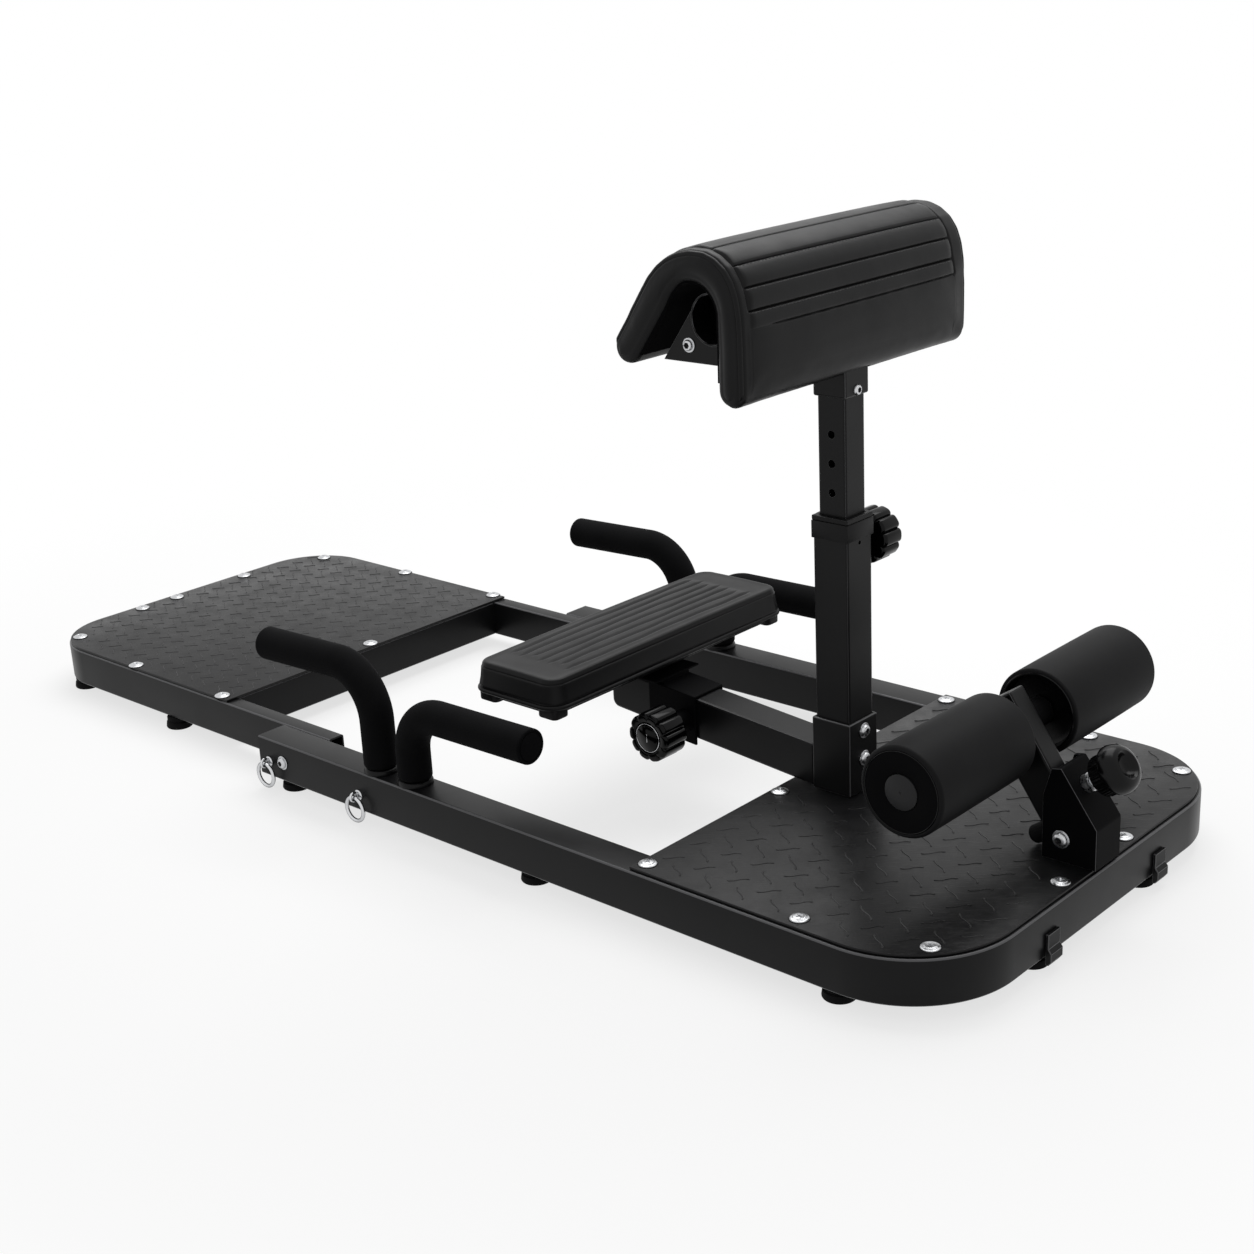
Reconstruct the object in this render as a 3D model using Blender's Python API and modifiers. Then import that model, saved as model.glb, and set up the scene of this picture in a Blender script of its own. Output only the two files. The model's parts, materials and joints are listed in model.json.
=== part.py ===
"""Glute machine: a floor frame, a hip pad on a post, a sliding seat, foot rollers and a folding rear deck.

Metres, +Z up, +X towards the foot rollers.  The overall box is centred on the origin and stands on Z = 0.
"""

import math

import bmesh
import bpy

# Overall sizes of the floor frame
MIDDLE_X = 0.0127  # middle of the overall box in the drawing's own X, moved to zero at the end
GAP = 0.0003  # between pieces that rest on or are cut by each other
THROUGH = 0.02  # how far a cutter runs past the face it opens
WALL = 0.002  # steel tube wall
TUBE_EDGE = 0.0025  # corner radius of the square tubes
FOOT_HEIGHT = 0.015
FRAME_LOW = FOOT_HEIGHT
FRAME_HIGH = 0.060
DECK_LOW = FRAME_HIGH + GAP
DECK_HIGH = 0.063
ON_DECK = DECK_HIGH + GAP

# Front frame
HALF_WIDTH = 0.265
FRONT_X = 0.695
RAIL_END_X = -0.198
RAIL_WIDTH = 0.038
FRONT_CORNER = 0.108
CROSS_X = 0.3525
CROSS_WIDTH = 0.040
CROSS_DROP = 0.0005
DECK_INSET = 0.0015

# Rear frame
ARM_PLAY = 0.0008
ARM_HALF_WIDTH = HALF_WIDTH - RAIL_WIDTH - ARM_PLAY
ARM_WIDTH = 0.020
ARM_END_X = -0.122
REAR_X = -0.695
REAR_CORNER = 0.085
REAR_CROSS_X = -0.330
REAR_CROSS_WIDTH = 0.020
REAR_DECK_X = -0.308
STUB_ROUND = 0.012
LAP_X = -0.157
LAP_Z = 0.0375
LAP_BOLT_R = 0.005
LAP_HEAD_R = 0.0075
LAP_HEAD = 0.0035

# Feet, clips, eyes and rings
FOOT_R = 0.014
RAIL_FEET_X = (0.577, 0.211, -0.163)
RAIL_FOOT_INSET = 0.020
RAIL_FOOT_Y = HALF_WIDTH - RAIL_FOOT_INSET
FRONT_FOOT_INSET = 0.019
FRONT_FOOT_X = FRONT_X - FRONT_FOOT_INSET
FRONT_FOOT_Y = 0.096
REAR_FEET_X = (-0.425, -0.640)
REAR_FEET_INSET = (0.0107, 0.0217)
REAR_FEET = tuple((x, ARM_HALF_WIDTH - inset) for x, inset in zip(REAR_FEET_X, REAR_FEET_INSET))
CLIP_WIDTH = 0.020
CLIP_Y = 0.0965
EYE_X = (-0.181, -0.030)
EYE_Z = 0.0335
EYE_R = 0.0045
EYE_WIRE = 0.0015
EYE_WASHER_R = 0.006
EYE_WASHER = 0.0015
RING_R = 0.0131
RING_WIRE = 0.0019
EYE_Y = HALF_WIDTH + GAP + EYE_WASHER + EYE_R

# Post
POST_X = 0.406
POST = 0.040
POST_HIGH = 0.340
SOCKET = 0.046
SOCKET_HIGH = 0.140
INNER = 0.0316
INNER_LOW = 0.180
LINER = 0.0328
LINER_LOW = 0.296
LINER_RIM = 0.0052
TAB_WIDTH = 0.020
TAB_LOW = 0.320
TAB_HIGH = 0.338
TAB = 0.0025
HOLE_R = 0.004
HOLE_PITCH = 0.028
LOCK_Z = 0.312
SET_HOLE_Z = 0.319

# Locking knobs: stud, boss and star grip
STUD_R = 0.005
TIP_GAP = 0.0005
BOSS_R = 0.0105
POST_BOSS_Y = 0.0315
POST_KNOB_Y = (0.0335, 0.0635)
SEAT_BOSS_Y = 0.045
SEAT_KNOB_Y = (0.048, 0.083)
KNOB_R = 0.0265
KNOB_LOBE = 0.0018
KNOB_LOBES = 10
KNOB_DISC_R = 0.0135
KNOB_DISC = 0.0015
STUD_IN_KNOB = 0.016

# Hip pad and its mount: places are measured from the post's centre line and the cross tube's height
CROSS_TUBE_DX = -0.017
CROSS_TUBE_Z = 0.554
CROSS_TUBE_R = 0.0235
CROSS_TUBE_HALF = 0.162
COLLAR = 0.0372
COLLAR_DROP = 0.0945
COLLAR_TUCK = 0.012
COLLAR_BORE_DROP = 0.028
COLLAR_LOW = CROSS_TUBE_Z - COLLAR_DROP
COLLAR_HIGH = CROSS_TUBE_Z - COLLAR_TUCK
COLLAR_BORE_HIGH = CROSS_TUBE_Z - COLLAR_BORE_DROP
INNER_PLAY = 0.002
INNER_HIGH = COLLAR_BORE_HIGH - INNER_PLAY
NOTCH_PLAY = 0.0012
NOTCH_DROP = 0.090
NOTCH_LOW = CROSS_TUBE_Z - NOTCH_DROP
PAD_OVERHANG = 0.014
PAD_HALF = CROSS_TUBE_HALF + PAD_OVERHANG
PAD_EDGE = 0.010
PAD_LEG_R = (0.018, 0.0174)
PAD_LEG_END = ((-0.0913, -0.0300), (0.0256, -0.0586))
PAD_ARCH = (-0.0165, 0.0045)
PAD_ARCH_R = 0.025
END_PLATE_INSET = 0.005
END_PLATE_Y = CROSS_TUBE_HALF - END_PLATE_INSET
END_PLATE = 0.003
PLATE_LOW = -0.0405

# Centre beam and seat
BEAM_WIDTH = 0.040
BEAM_SLOPE = math.radians(4.9)
BEAM_REAR_X = 0.112
BEAM_FRONT_X = POST_X - SOCKET / 2 - GAP
BEAM_TOP_AT_FRONT = 0.1087
BEAM_HEIGHT = 0.045
BEAM_ROUND = 0.009
SADDLE_X = (0.168, 0.232)
SADDLE_PLAY = 0.0008
SADDLE_WALL = 0.0025
SADDLE_SIDE = 0.052
SADDLE_PLATE_X = (0.100, 0.190)
SADDLE_PLATE_HALF = 0.034
SADDLE_PLATE = 0.002
SEAT_KNOB_X = 0.217
SEAT_KNOB_Z = 0.0955
SEAT_X = (0.069, 0.192)
SEAT_HALF = 0.1875
SEAT_LOW = 0.147
SEAT_HIGH = 0.182
SEAT_DRAFT = 0.006
SEAT_CORNER = 0.020
BASE_INSET = 0.005
BASE_CORNER = 0.015
BASE_THICK = 0.0045
LUG = 0.026
LUG_INSET = 0.004
LUG_DROP = 0.0075

# Handles: centre line in X and Z, one list for each of the two shapes
HANDLE_Y = HALF_WIDTH - RAIL_WIDTH / 2
HANDLE_TUBE_R = 0.0125
GRIP_R = 0.018
GRIP_BORE_R = 0.0131
COLLAR_R = 0.0185
COLLAR_HEIGHT = 0.009
GRIP_START = 0.0725
REAR_HANDLE = (-0.0115, 0.116, 0.054, 0.166, -0.185)
FRONT_HANDLE = (0.042, 0.0965, 0.0445, 0.143, 0.217)
HANDLE_CAP = 0.004

# Foot rollers
AXLE_BACK = 0.0964
PIVOT_BACK = 0.035
AXLE = (FRONT_X - AXLE_BACK, 0.175)
PIVOT = (FRONT_X - PIVOT_BACK, 0.086)
ARM_TURN = math.atan2(AXLE[0] - PIVOT[0], AXLE[1] - PIVOT[1])
ARM_LENGTH = math.hypot(AXLE[0] - PIVOT[0], AXLE[1] - PIVOT[1])
ARM_BEYOND = 0.030
ARM_DEPTH = 0.038
ARM_THICK = 0.025
AXLE_R = 0.008
SPACER_R = 0.014
ROLLER_R = 0.042
ROLLER_Y = (0.0356, 0.185)
ROLLER_PLAY = 0.0004
ROLLER_EDGE = 0.005
ROLLER_DISH_R = 0.034
ROLLER_DISH = 0.006
HUB_R = 0.015
HUB_RAISE = 0.0006
PIVOT_R = 0.006
PIVOT_HEAD_R = 0.0085
PIVOT_HEAD = 0.005
BRACKET_HALF = 0.022
BRACKET_WALL = 0.004
BRACKET_LEAN = 0.037
BRACKET_DEPTH = 0.055
BRACKET_TOP_LAND = 0.010
BRACKET_FOLD = (FRONT_X, 0.103)
BRACKET_TOP = (FRONT_X - BRACKET_LEAN, 0.154)
BRACKET_REAR_X = FRONT_X - BRACKET_DEPTH
BUMPER_R = 0.009
BUMPER_NOSE = 0.004
BUMPER_LENGTH = 0.0235
BUMPER_S = 0.010
ARM_STUD_S = 0.040
ARM_NUT = 0.006
ARM_KNOB = (0.0175, 0.049)
ARM_KNOB_R = 0.0235
ARM_KNOB_BACK_R = 0.0195


def collection(name):
    made = bpy.data.collections.new(name)
    bpy.context.scene.collection.children.link(made)
    return made


for old in list(bpy.data.objects):
    bpy.data.objects.remove(old)
PARTS = collection("glute_machine")
CUTTERS = collection("cutters")
MATERIALS = {}


def material(name, colour, roughness, metallic=0.0):
    made = bpy.data.materials.new(name)
    made.use_nodes = True
    shader = made.node_tree.nodes["Principled BSDF"]
    shader.inputs["Base Color"].default_value = (*colour, 1.0)
    shader.inputs["Roughness"].default_value = roughness
    shader.inputs["Metallic"].default_value = metallic
    MATERIALS[name] = made


material("powder_coat", (0.018, 0.018, 0.019), 0.42)
material("deck_rubber", (0.030, 0.030, 0.031), 0.60)
material("foam", (0.012, 0.012, 0.013), 0.85)
material("roller_foam", (0.013, 0.013, 0.014), 0.80)
material("pad_cover", (0.020, 0.020, 0.021), 0.45)
material("seat_rubber", (0.022, 0.022, 0.023), 0.50)
material("seat_base_plastic", (0.012, 0.012, 0.012), 0.50)
material("foot_rubber", (0.010, 0.010, 0.010), 0.75)
material("clip_plastic", (0.012, 0.012, 0.013), 0.35)
material("liner_plastic", (0.014, 0.014, 0.015), 0.40)
material("knob_plastic", (0.012, 0.012, 0.013), 0.22)
material("bright_steel", (0.62, 0.62, 0.63), 0.28, 1.0)
material("ring_chrome", (0.70, 0.70, 0.71), 0.15, 1.0)


def arc(x, y, radius, start, end, steps):
    """Points of an arc, with both ends, angles in degrees."""
    points = []
    for i in range(steps + 1):
        angle = math.radians(start + (end - start) * i / steps)
        points.append((x + radius * math.cos(angle), y + radius * math.sin(angle)))
    return points


def finish(name, mesh, coat, place=(0, 0, 0), turn=(0, 0, 0)):
    """An object in the machine's collection, or a cutter when it has no coat."""
    made = bpy.data.objects.new(name, mesh)
    made.location = place
    made.rotation_euler = turn
    if coat:
        mesh.materials.append(MATERIALS[coat])
        PARTS.objects.link(made)
    else:
        CUTTERS.objects.link(made)
        made.hide_render = True
        made.display_type = "WIRE"
    return made


def mesh_of(bm, name):
    bmesh.ops.recalc_face_normals(bm, faces=bm.faces)
    mesh = bpy.data.meshes.new(name)
    bm.to_mesh(mesh)
    bm.free()
    return mesh


def round_edges(made, width, segments=2, angle=30):
    rounding = made.modifiers.new("edges", "BEVEL")
    rounding.width = width
    rounding.segments = segments
    rounding.limit_method = "ANGLE"
    rounding.angle_limit = math.radians(angle)
    return made


def prism(name, outline, low, high, coat=None, along="Z", place=(0, 0, 0), turn=None):
    """A flat outline raised from low to high along Z, or along Y when the outline is in X and Z."""
    bm = bmesh.new()
    corners = []
    for a, b in outline:
        corners.append(bm.verts.new((a, b, low) if along == "Z" else (a, low, b)))
    face = bm.faces.new(corners)
    raised = bmesh.ops.extrude_face_region(bm, geom=[face])
    moved = [item for item in raised["geom"] if isinstance(item, bmesh.types.BMVert)]
    height = high - low
    bmesh.ops.translate(bm, verts=moved, vec=(0, 0, height) if along == "Z" else (0, height, 0))
    return finish(name, mesh_of(bm, name), coat, place, turn or (0, 0, 0))


def box(name, low, high, coat=None, place=(0, 0, 0), turn=(0, 0, 0)):
    outline = [(low[0], low[1]), (high[0], low[1]), (high[0], high[1]), (low[0], high[1])]
    return prism(name, outline, low[2], high[2], coat, "Z", place, turn)


def rod(name, radius, low, high, coat=None, place=(0, 0, 0), turn=(0, 0, 0), sides=24):
    """A round bar along its own Z."""
    bm = bmesh.new()
    made = bmesh.ops.create_cone(
        bm, cap_ends=True, segments=sides, radius1=radius, radius2=radius, depth=high - low
    )
    bmesh.ops.translate(bm, verts=made["verts"], vec=(0, 0, (low + high) / 2))
    return finish(name, mesh_of(bm, name), coat, place, turn)


def turned(name, profile, coat=None, place=(0, 0, 0), turn=(0, 0, 0), steps=32, closed=False):
    """A profile of (radius, height) points turned round its own Z."""
    bm = bmesh.new()
    corners = [bm.verts.new((radius, 0, height)) for radius, height in profile]
    for first, second in zip(corners, corners[1:]):
        bm.edges.new((first, second))
    if closed:
        bm.edges.new((corners[-1], corners[0]))
    mesh = bpy.data.meshes.new(name)
    bm.to_mesh(mesh)
    bm.free()
    made = finish(name, mesh, coat, place, turn)
    screw = made.modifiers.new("turned", "SCREW")
    screw.steps = steps
    screw.render_steps = steps
    screw.use_merge_vertices = True
    screw.merge_threshold = 0.0001
    return made


def cut(target, *cutters):
    for cutter in cutters:
        bite = target.modifiers.new("cut", "BOOLEAN")
        bite.operation = "DIFFERENCE"
        bite.solver = "EXACT"
        bite.object = cutter
    return target


def join(target, *others):
    for other in others:
        weld = target.modifiers.new("join", "BOOLEAN")
        weld.operation = "UNION"
        weld.solver = "EXACT"
        weld.object = other
    return target


def smooth(made, angle=35):
    """Round pieces are shaded smooth, with their true edges kept sharp."""
    made.data.shade_smooth()
    made.data.set_sharp_from_angle(angle=math.radians(angle))
    return made


ALONG_Y = (math.radians(-90), 0, 0)
AGAINST_Y = (math.radians(90), 0, 0)
ALONG_X = (0, math.radians(90), 0)


# Floor frames
def u_outline(end_x, face_x, half, corner, width, inset, past):
    """A U of tube seen from above: outer side out, inner side back; inset shrinks the tube's walls."""
    way = 1 if face_x > end_x else -1
    end = end_x - way * past
    outer_r = corner - inset
    inner_r = corner - width + inset
    centre_x = face_x - way * corner
    centre_y = half - corner
    points = [(end, -(half - inset))]
    turns = (-90, 0, 90) if way > 0 else (-90, -180, -270)
    points += arc(centre_x, -centre_y, outer_r, turns[0], turns[1], 10)
    points += arc(centre_x, centre_y, outer_r, turns[1], turns[2], 10)
    points.append((end, half - inset))
    points.append((end, half - width + inset))
    points += arc(centre_x, centre_y, inner_r, turns[2], turns[1], 10)
    points += arc(centre_x, -centre_y, inner_r, turns[1], turns[0], 10)
    points.append((end, -(half - width + inset)))
    return points


def cross_box(name, x, width, half, inset, reach, coat=None):
    low = (x + inset, -(half + reach), FRAME_LOW + CROSS_DROP + inset)
    high = (x + width - inset, half + reach, FRAME_HIGH - CROSS_DROP - inset)
    return box(name, low, high, coat)


def floor_frame(name, u, cross):
    """Bent tube with a cross tube welded between its sides, hollow and open at its two ends."""
    made = prism(name, u_outline(*u, 0, 0), FRAME_LOW, FRAME_HIGH, "powder_coat")
    round_edges(made, TUBE_EDGE)
    inner_half = u[2] - u[4]
    bar = round_edges(cross_box(name + "_cross", *cross, inner_half, 0, WALL / 2), TUBE_EDGE)
    join(made, bar)
    hollow = prism(name + "_hollow", u_outline(*u, WALL, 0.01), FRAME_LOW + WALL, FRAME_HIGH - WALL)
    bar_hollow = cross_box(name + "_cross_hollow", *cross, inner_half, WALL, 2 * WALL + WALL / 2)
    cut(made, hollow, bar_hollow)
    return made


FRONT_U = (RAIL_END_X, FRONT_X, HALF_WIDTH, FRONT_CORNER, RAIL_WIDTH)
REAR_U = (ARM_END_X, REAR_X, ARM_HALF_WIDTH, REAR_CORNER, ARM_WIDTH)
front_frame = floor_frame("front_frame", FRONT_U, (CROSS_X, CROSS_WIDTH))
rear_frame = floor_frame("rear_frame", REAR_U, (REAR_CROSS_X, REAR_CROSS_WIDTH))

FRAME_REACH = HALF_WIDTH + THROUGH
lap_hole = rod(
    "lap_hole", LAP_BOLT_R + GAP, -FRAME_REACH, FRAME_REACH, place=(LAP_X, 0, LAP_Z), turn=ALONG_Y, sides=16
)
cut(front_frame, lap_hole)
stub_x = ARM_END_X - STUB_ROUND
stub_z = FRAME_LOW + STUB_ROUND
stub = [(ARM_END_X + THROUGH, FRAME_LOW - THROUGH), (ARM_END_X + THROUGH, stub_z)]
stub += arc(stub_x, stub_z, STUB_ROUND, 0, -90, 5)
stub.append((stub_x, FRAME_LOW - THROUGH))
cut(rear_frame, lap_hole, prism("stub_corner", stub, -FRAME_REACH, FRAME_REACH, along="Y"))


def deck_outline(edge_x, face_x, half, corner):
    way = 1 if face_x > edge_x else -1
    turns = (-90, 0, 90) if way > 0 else (-90, -180, -270)
    points = [(edge_x, -half)]
    points += arc(face_x - way * corner, -(half - corner), corner, turns[0], turns[1], 12)
    points += arc(face_x - way * corner, half - corner, corner, turns[1], turns[2], 12)
    points.append((edge_x, half))
    return points


front_deck = prism(
    "front_deck",
    deck_outline(CROSS_X, FRONT_X - DECK_INSET, HALF_WIDTH - DECK_INSET, FRONT_CORNER - DECK_INSET),
    DECK_LOW,
    DECK_HIGH,
    "deck_rubber",
)
rear_deck = prism(
    "rear_deck",
    deck_outline(REAR_DECK_X, REAR_X + DECK_INSET, ARM_HALF_WIDTH, REAR_CORNER - DECK_INSET),
    DECK_LOW,
    DECK_HIGH,
    "deck_rubber",
)


# Feet, clips, bolts, eyes and rings, on both sides of the frame
def foot(name, x, y):
    high = FOOT_HEIGHT - GAP
    profile = [(0, high), (FOOT_R, high), (FOOT_R, 0.003), (FOOT_R - 0.0015, 0), (0, 0)]
    return smooth(turned(name, profile, "foot_rubber", (x, y, 0), steps=20))


CLIP = ((0, 0.038), (0.003, 0.038), (0.003, 0.024), (0.006, 0.020), (0.006, 0.012), (0.003, 0.008))
CLIP += ((0, 0.008),)
for side, word in ((-1, "near"), (1, "far")):
    for x, place in zip(RAIL_FEET_X, ("front", "middle", "rear")):
        foot("rail_foot_" + place + "_" + word, x, side * RAIL_FOOT_Y)
    foot("front_foot_" + word, FRONT_FOOT_X, side * FRONT_FOOT_Y)
    for (x, y), place in zip(REAR_FEET, ("inner", "end")):
        foot("rear_foot_" + place + "_" + word, x, side * y)
    clip_y = side * CLIP_Y - CLIP_WIDTH / 2
    clip = prism(
        "front_clip_" + word,
        [(FRONT_X + GAP + x, z) for x, z in CLIP],
        clip_y,
        clip_y + CLIP_WIDTH,
        "clip_plastic",
        along="Y",
    )
    outward = AGAINST_Y if side < 0 else ALONG_Y
    head = HALF_WIDTH + GAP
    shank_low = ARM_HALF_WIDTH - ARM_WIDTH - GAP
    profile = [(0, head + LAP_HEAD), (LAP_HEAD_R * 0.6, head + LAP_HEAD), (LAP_HEAD_R, head + 0.0015)]
    profile += [(LAP_HEAD_R, head), (LAP_BOLT_R, head), (LAP_BOLT_R, shank_low - 0.004)]
    profile += [(0, shank_low - 0.004)]
    smooth(turned("lap_bolt_" + word, profile, "bright_steel", (LAP_X, 0, LAP_Z), outward, 20))
    for x, place in zip(EYE_X, ("rear", "front")):
        washer_low = HALF_WIDTH + GAP
        washer = rod(
            "eye_" + place + "_" + word,
            EYE_WASHER_R,
            washer_low,
            washer_low + EYE_WASHER + EYE_WIRE * 0.4,
            "ring_chrome",
            (x, 0, EYE_Z),
            outward,
            16,
        )
        loop = []
        for i in range(6):
            angle = 2 * math.pi * i / 6
            loop.append((EYE_R + EYE_WIRE * math.cos(angle), -EYE_WIRE * math.sin(angle)))
        eye = turned(
            "eye_loop_" + place + "_" + word,
            loop,
            None,
            (x, side * (EYE_Y + EYE_WIRE * 0.4), EYE_Z),
            ALONG_X,
            12,
            True,
        )
        smooth(join(washer, eye))
        wire = []
        for i in range(6):
            angle = 2 * math.pi * i / 6
            wire.append((RING_R + RING_WIRE * math.cos(angle), -RING_WIRE * math.sin(angle)))
        hang_z = EYE_Z - EYE_R + EYE_WIRE + RING_WIRE + GAP
        smooth(
            turned(
                "ring_" + place + "_" + word,
                [(r, z) for r, z in wire],
                "ring_chrome",
                (x, side * (EYE_Y + EYE_WIRE * 0.4), hang_z - RING_R),
                ALONG_Y,
                24,
                True,
            ),
            60,
        )


# Post, its socket and its liner
def square(name, side, low, high, coat=None):
    half = side / 2
    return box(name, (POST_X - half, -half, low), (POST_X + half, half, high), coat)


post_socket = round_edges(square("post_socket", SOCKET, ON_DECK, SOCKET_HIGH, "powder_coat"), 0.002)
cut(post_socket, square("socket_bore", POST + 2 * GAP, ON_DECK - THROUGH, SOCKET_HIGH + THROUGH))
outer_post = round_edges(square("outer_post", POST, ON_DECK, POST_HIGH, "powder_coat"), TUBE_EDGE)
post_boss = rod(
    "post_boss", BOSS_R, POST / 2 - WALL / 2, POST_BOSS_Y, place=(POST_X, 0, LOCK_Z), turn=ALONG_Y, sides=6
)
join(outer_post, post_boss)
stud_hole = rod(
    "stud_hole", STUD_R + GAP, 0, POST_BOSS_Y + THROUGH, place=(POST_X, 0, LOCK_Z), turn=ALONG_Y, sides=16
)
set_hole = rod("set_hole", 0.002, 0, POST, place=(POST_X, 0, SET_HOLE_Z), turn=ALONG_X, sides=12)
post_bore = square("outer_post_bore", POST - 2 * WALL, ON_DECK - THROUGH, POST_HIGH + THROUGH)
cut(outer_post, post_bore, stud_hole, set_hole)

liner_high = POST_HIGH + LINER_RIM
post_liner = square("post_liner", POST - 2 * WALL - 2 * GAP, LINER_LOW, liner_high, "liner_plastic")
rim = round_edges(square("liner_rim", POST + 2 * TUBE_EDGE / 3, POST_HIGH + GAP, liner_high), 0.001)
tab_far = POST_X - POST / 2 - GAP
tab_high = POST_HIGH + LINER_RIM * 0.8
tab = box("liner_tab", (tab_far - TAB, -TAB_WIDTH / 2, TAB_LOW), (tab_far, TAB_WIDTH / 2, tab_high))
tab_bridge = box(
    "liner_tab_bridge",
    (tab_far - TAB / 2, -TAB_WIDTH / 2 + 0.001, POST_HIGH + GAP * 2),
    (tab_far + 0.004, TAB_WIDTH / 2 - 0.001, POST_HIGH + LINER_RIM * 0.7),
)
join(post_liner, rim, tab, tab_bridge)
liner_hole = rod("liner_hole", STUD_R + 3 * GAP, 0, POST, place=(POST_X, 0, LOCK_Z), turn=ALONG_Y, sides=16)
liner_bore = square("liner_bore", LINER, LINER_LOW - THROUGH, liner_high + THROUGH)
cut(post_liner, liner_bore, liner_hole)

inner_post = round_edges(square("inner_post", INNER, INNER_LOW, INNER_HIGH, "powder_coat"), TUBE_EDGE)
cut(inner_post, square("inner_post_bore", INNER - 2 * WALL, INNER_LOW - THROUGH, INNER_HIGH + THROUGH))
for step in range(-4, 5):
    hole_z = LOCK_Z + step * HOLE_PITCH
    hole = rod(
        "pin_hole_%d" % (step + 5), HOLE_R, -INNER, INNER, place=(POST_X, 0, hole_z), turn=ALONG_Y, sides=14
    )
    cut(inner_post, hole)


# Knobs: a threaded stud and a star grip on it
def stud(name, low, high, place, turn):
    profile = [(0, high), (STUD_R, high), (STUD_R, low + 0.0012), (STUD_R - 0.0012, low), (0, low)]
    return smooth(turned(name, profile, "bright_steel", place, turn, 16))


def star_knob(name, size, low, high, place, turn):
    outline = []
    count = KNOB_LOBES * 6
    for i in range(count):
        angle = 2 * math.pi * i / count
        wave = 1 - abs(math.cos(KNOB_LOBES * angle / 2)) ** 3 * 2
        radius = size - KNOB_LOBE - KNOB_LOBE * wave
        outline.append((radius * math.cos(angle), radius * math.sin(angle)))
    made = prism(name, outline, low, high, "knob_plastic", "Z", place, turn)
    round_edges(made, 0.0018, 1, 50)
    disc = rod(name + "_disc", KNOB_DISC_R, high - 0.002, high + KNOB_DISC, place=place, turn=turn, sides=28)
    bore_high = low + STUD_IN_KNOB + GAP
    bore = rod(name + "_bore", STUD_R + GAP, low - THROUGH, bore_high, None, place, turn, 16)
    join(made, disc)
    cut(made, bore)
    return smooth(made)


post_lock = (POST_X, 0, LOCK_Z)
stud("post_stud", INNER / 2 + TIP_GAP, POST_KNOB_Y[0] + STUD_IN_KNOB, post_lock, ALONG_Y)
star_knob("post_knob", KNOB_R, POST_KNOB_Y[0], POST_KNOB_Y[1] - KNOB_DISC, post_lock, ALONG_Y)


# Hip pad: collar and cross tube, end plates, arched pad
def pad_section(points):
    """Points beside the post's centre line and above the cross tube, in the machine's X and Z."""
    return [(POST_X + x, CROSS_TUBE_Z + z) for x, z in points]


collar = square("pad_mount", COLLAR, COLLAR_LOW, COLLAR_HIGH, "powder_coat")
round_edges(collar, 0.002)
tube_place = (POST_X + CROSS_TUBE_DX, 0, CROSS_TUBE_Z)
tube_end = CROSS_TUBE_HALF + THROUGH
cross_tube = rod("cross_tube", CROSS_TUBE_R, -CROSS_TUBE_HALF, CROSS_TUBE_HALF, None, tube_place, ALONG_Y, 32)
join(collar, cross_tube)
tube_bore = rod("cross_tube_bore", CROSS_TUBE_R - WALL, -tube_end, tube_end, None, tube_place, ALONG_Y, 32)
collar_bore = square("collar_bore", INNER + 2 * GAP, COLLAR_LOW - THROUGH, COLLAR_BORE_HIGH)
cut(collar, collar_bore, tube_bore)
smooth(collar)

rear_end, front_end = PAD_LEG_END
lean = 36
pad_line = arc(*rear_end, PAD_LEG_R[0], 360 - lean, 180 - lean, 8)
pad_line += [(-0.0650, 0.0365), (-0.0550, 0.0465), (-0.0440, 0.0540), (-0.0310, 0.0595), (-0.0150, 0.0628)]
pad_line += [(0.0010, 0.0622), (0.0140, 0.0575), (0.0255, 0.0490), (0.0340, 0.0375), (0.0393, 0.0235)]
pad_line += [(0.0421, 0.0065), (0.0430, -0.0150)]
pad_line += arc(*front_end, PAD_LEG_R[1], 0, -180, 8)
pad_line += arc(*PAD_ARCH, PAD_ARCH_R, -10, 110, 7)
pad_line += [(-0.0360, 0.0180), (-0.0430, 0.0059)]
arch_pad = prism("arch_pad", pad_section(pad_line), -PAD_HALF, PAD_HALF, "pad_cover", along="Y")
round_edges(arch_pad, PAD_EDGE, 3, 50)
notch = COLLAR / 2 + NOTCH_PLAY
pad_notch = box(
    "pad_notch", (POST_X - notch, -notch, NOTCH_LOW), (POST_X + notch, notch, COLLAR_HIGH + NOTCH_PLAY)
)
cut(arch_pad, pad_notch)
smooth(arch_pad)

leg_face = front_end[0] - PAD_LEG_R[1] - 2 * GAP
plate_line = [(-0.0762, PLATE_LOW), (leg_face, PLATE_LOW), (leg_face, -0.0220)]
plate_line += [(CROSS_TUBE_DX, 0), (-0.0433, 0.0050)]
plate_line = pad_section(plate_line)
tube_hole = rod("end_plate_hole", CROSS_TUBE_R + GAP, -tube_end, tube_end, None, tube_place, ALONG_Y, 32)
for side, word in ((-1, "near"), (1, "far")):
    low = side * END_PLATE_Y - END_PLATE / 2
    plate = prism("end_plate_" + word, plate_line, low, low + END_PLATE, "powder_coat", along="Y")
    cut(plate, tube_hole)


# Centre beam and the seat that slides on it
def beam_top(x):
    return BEAM_TOP_AT_FRONT + (BEAM_FRONT_X - x) * math.tan(BEAM_SLOPE)


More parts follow.
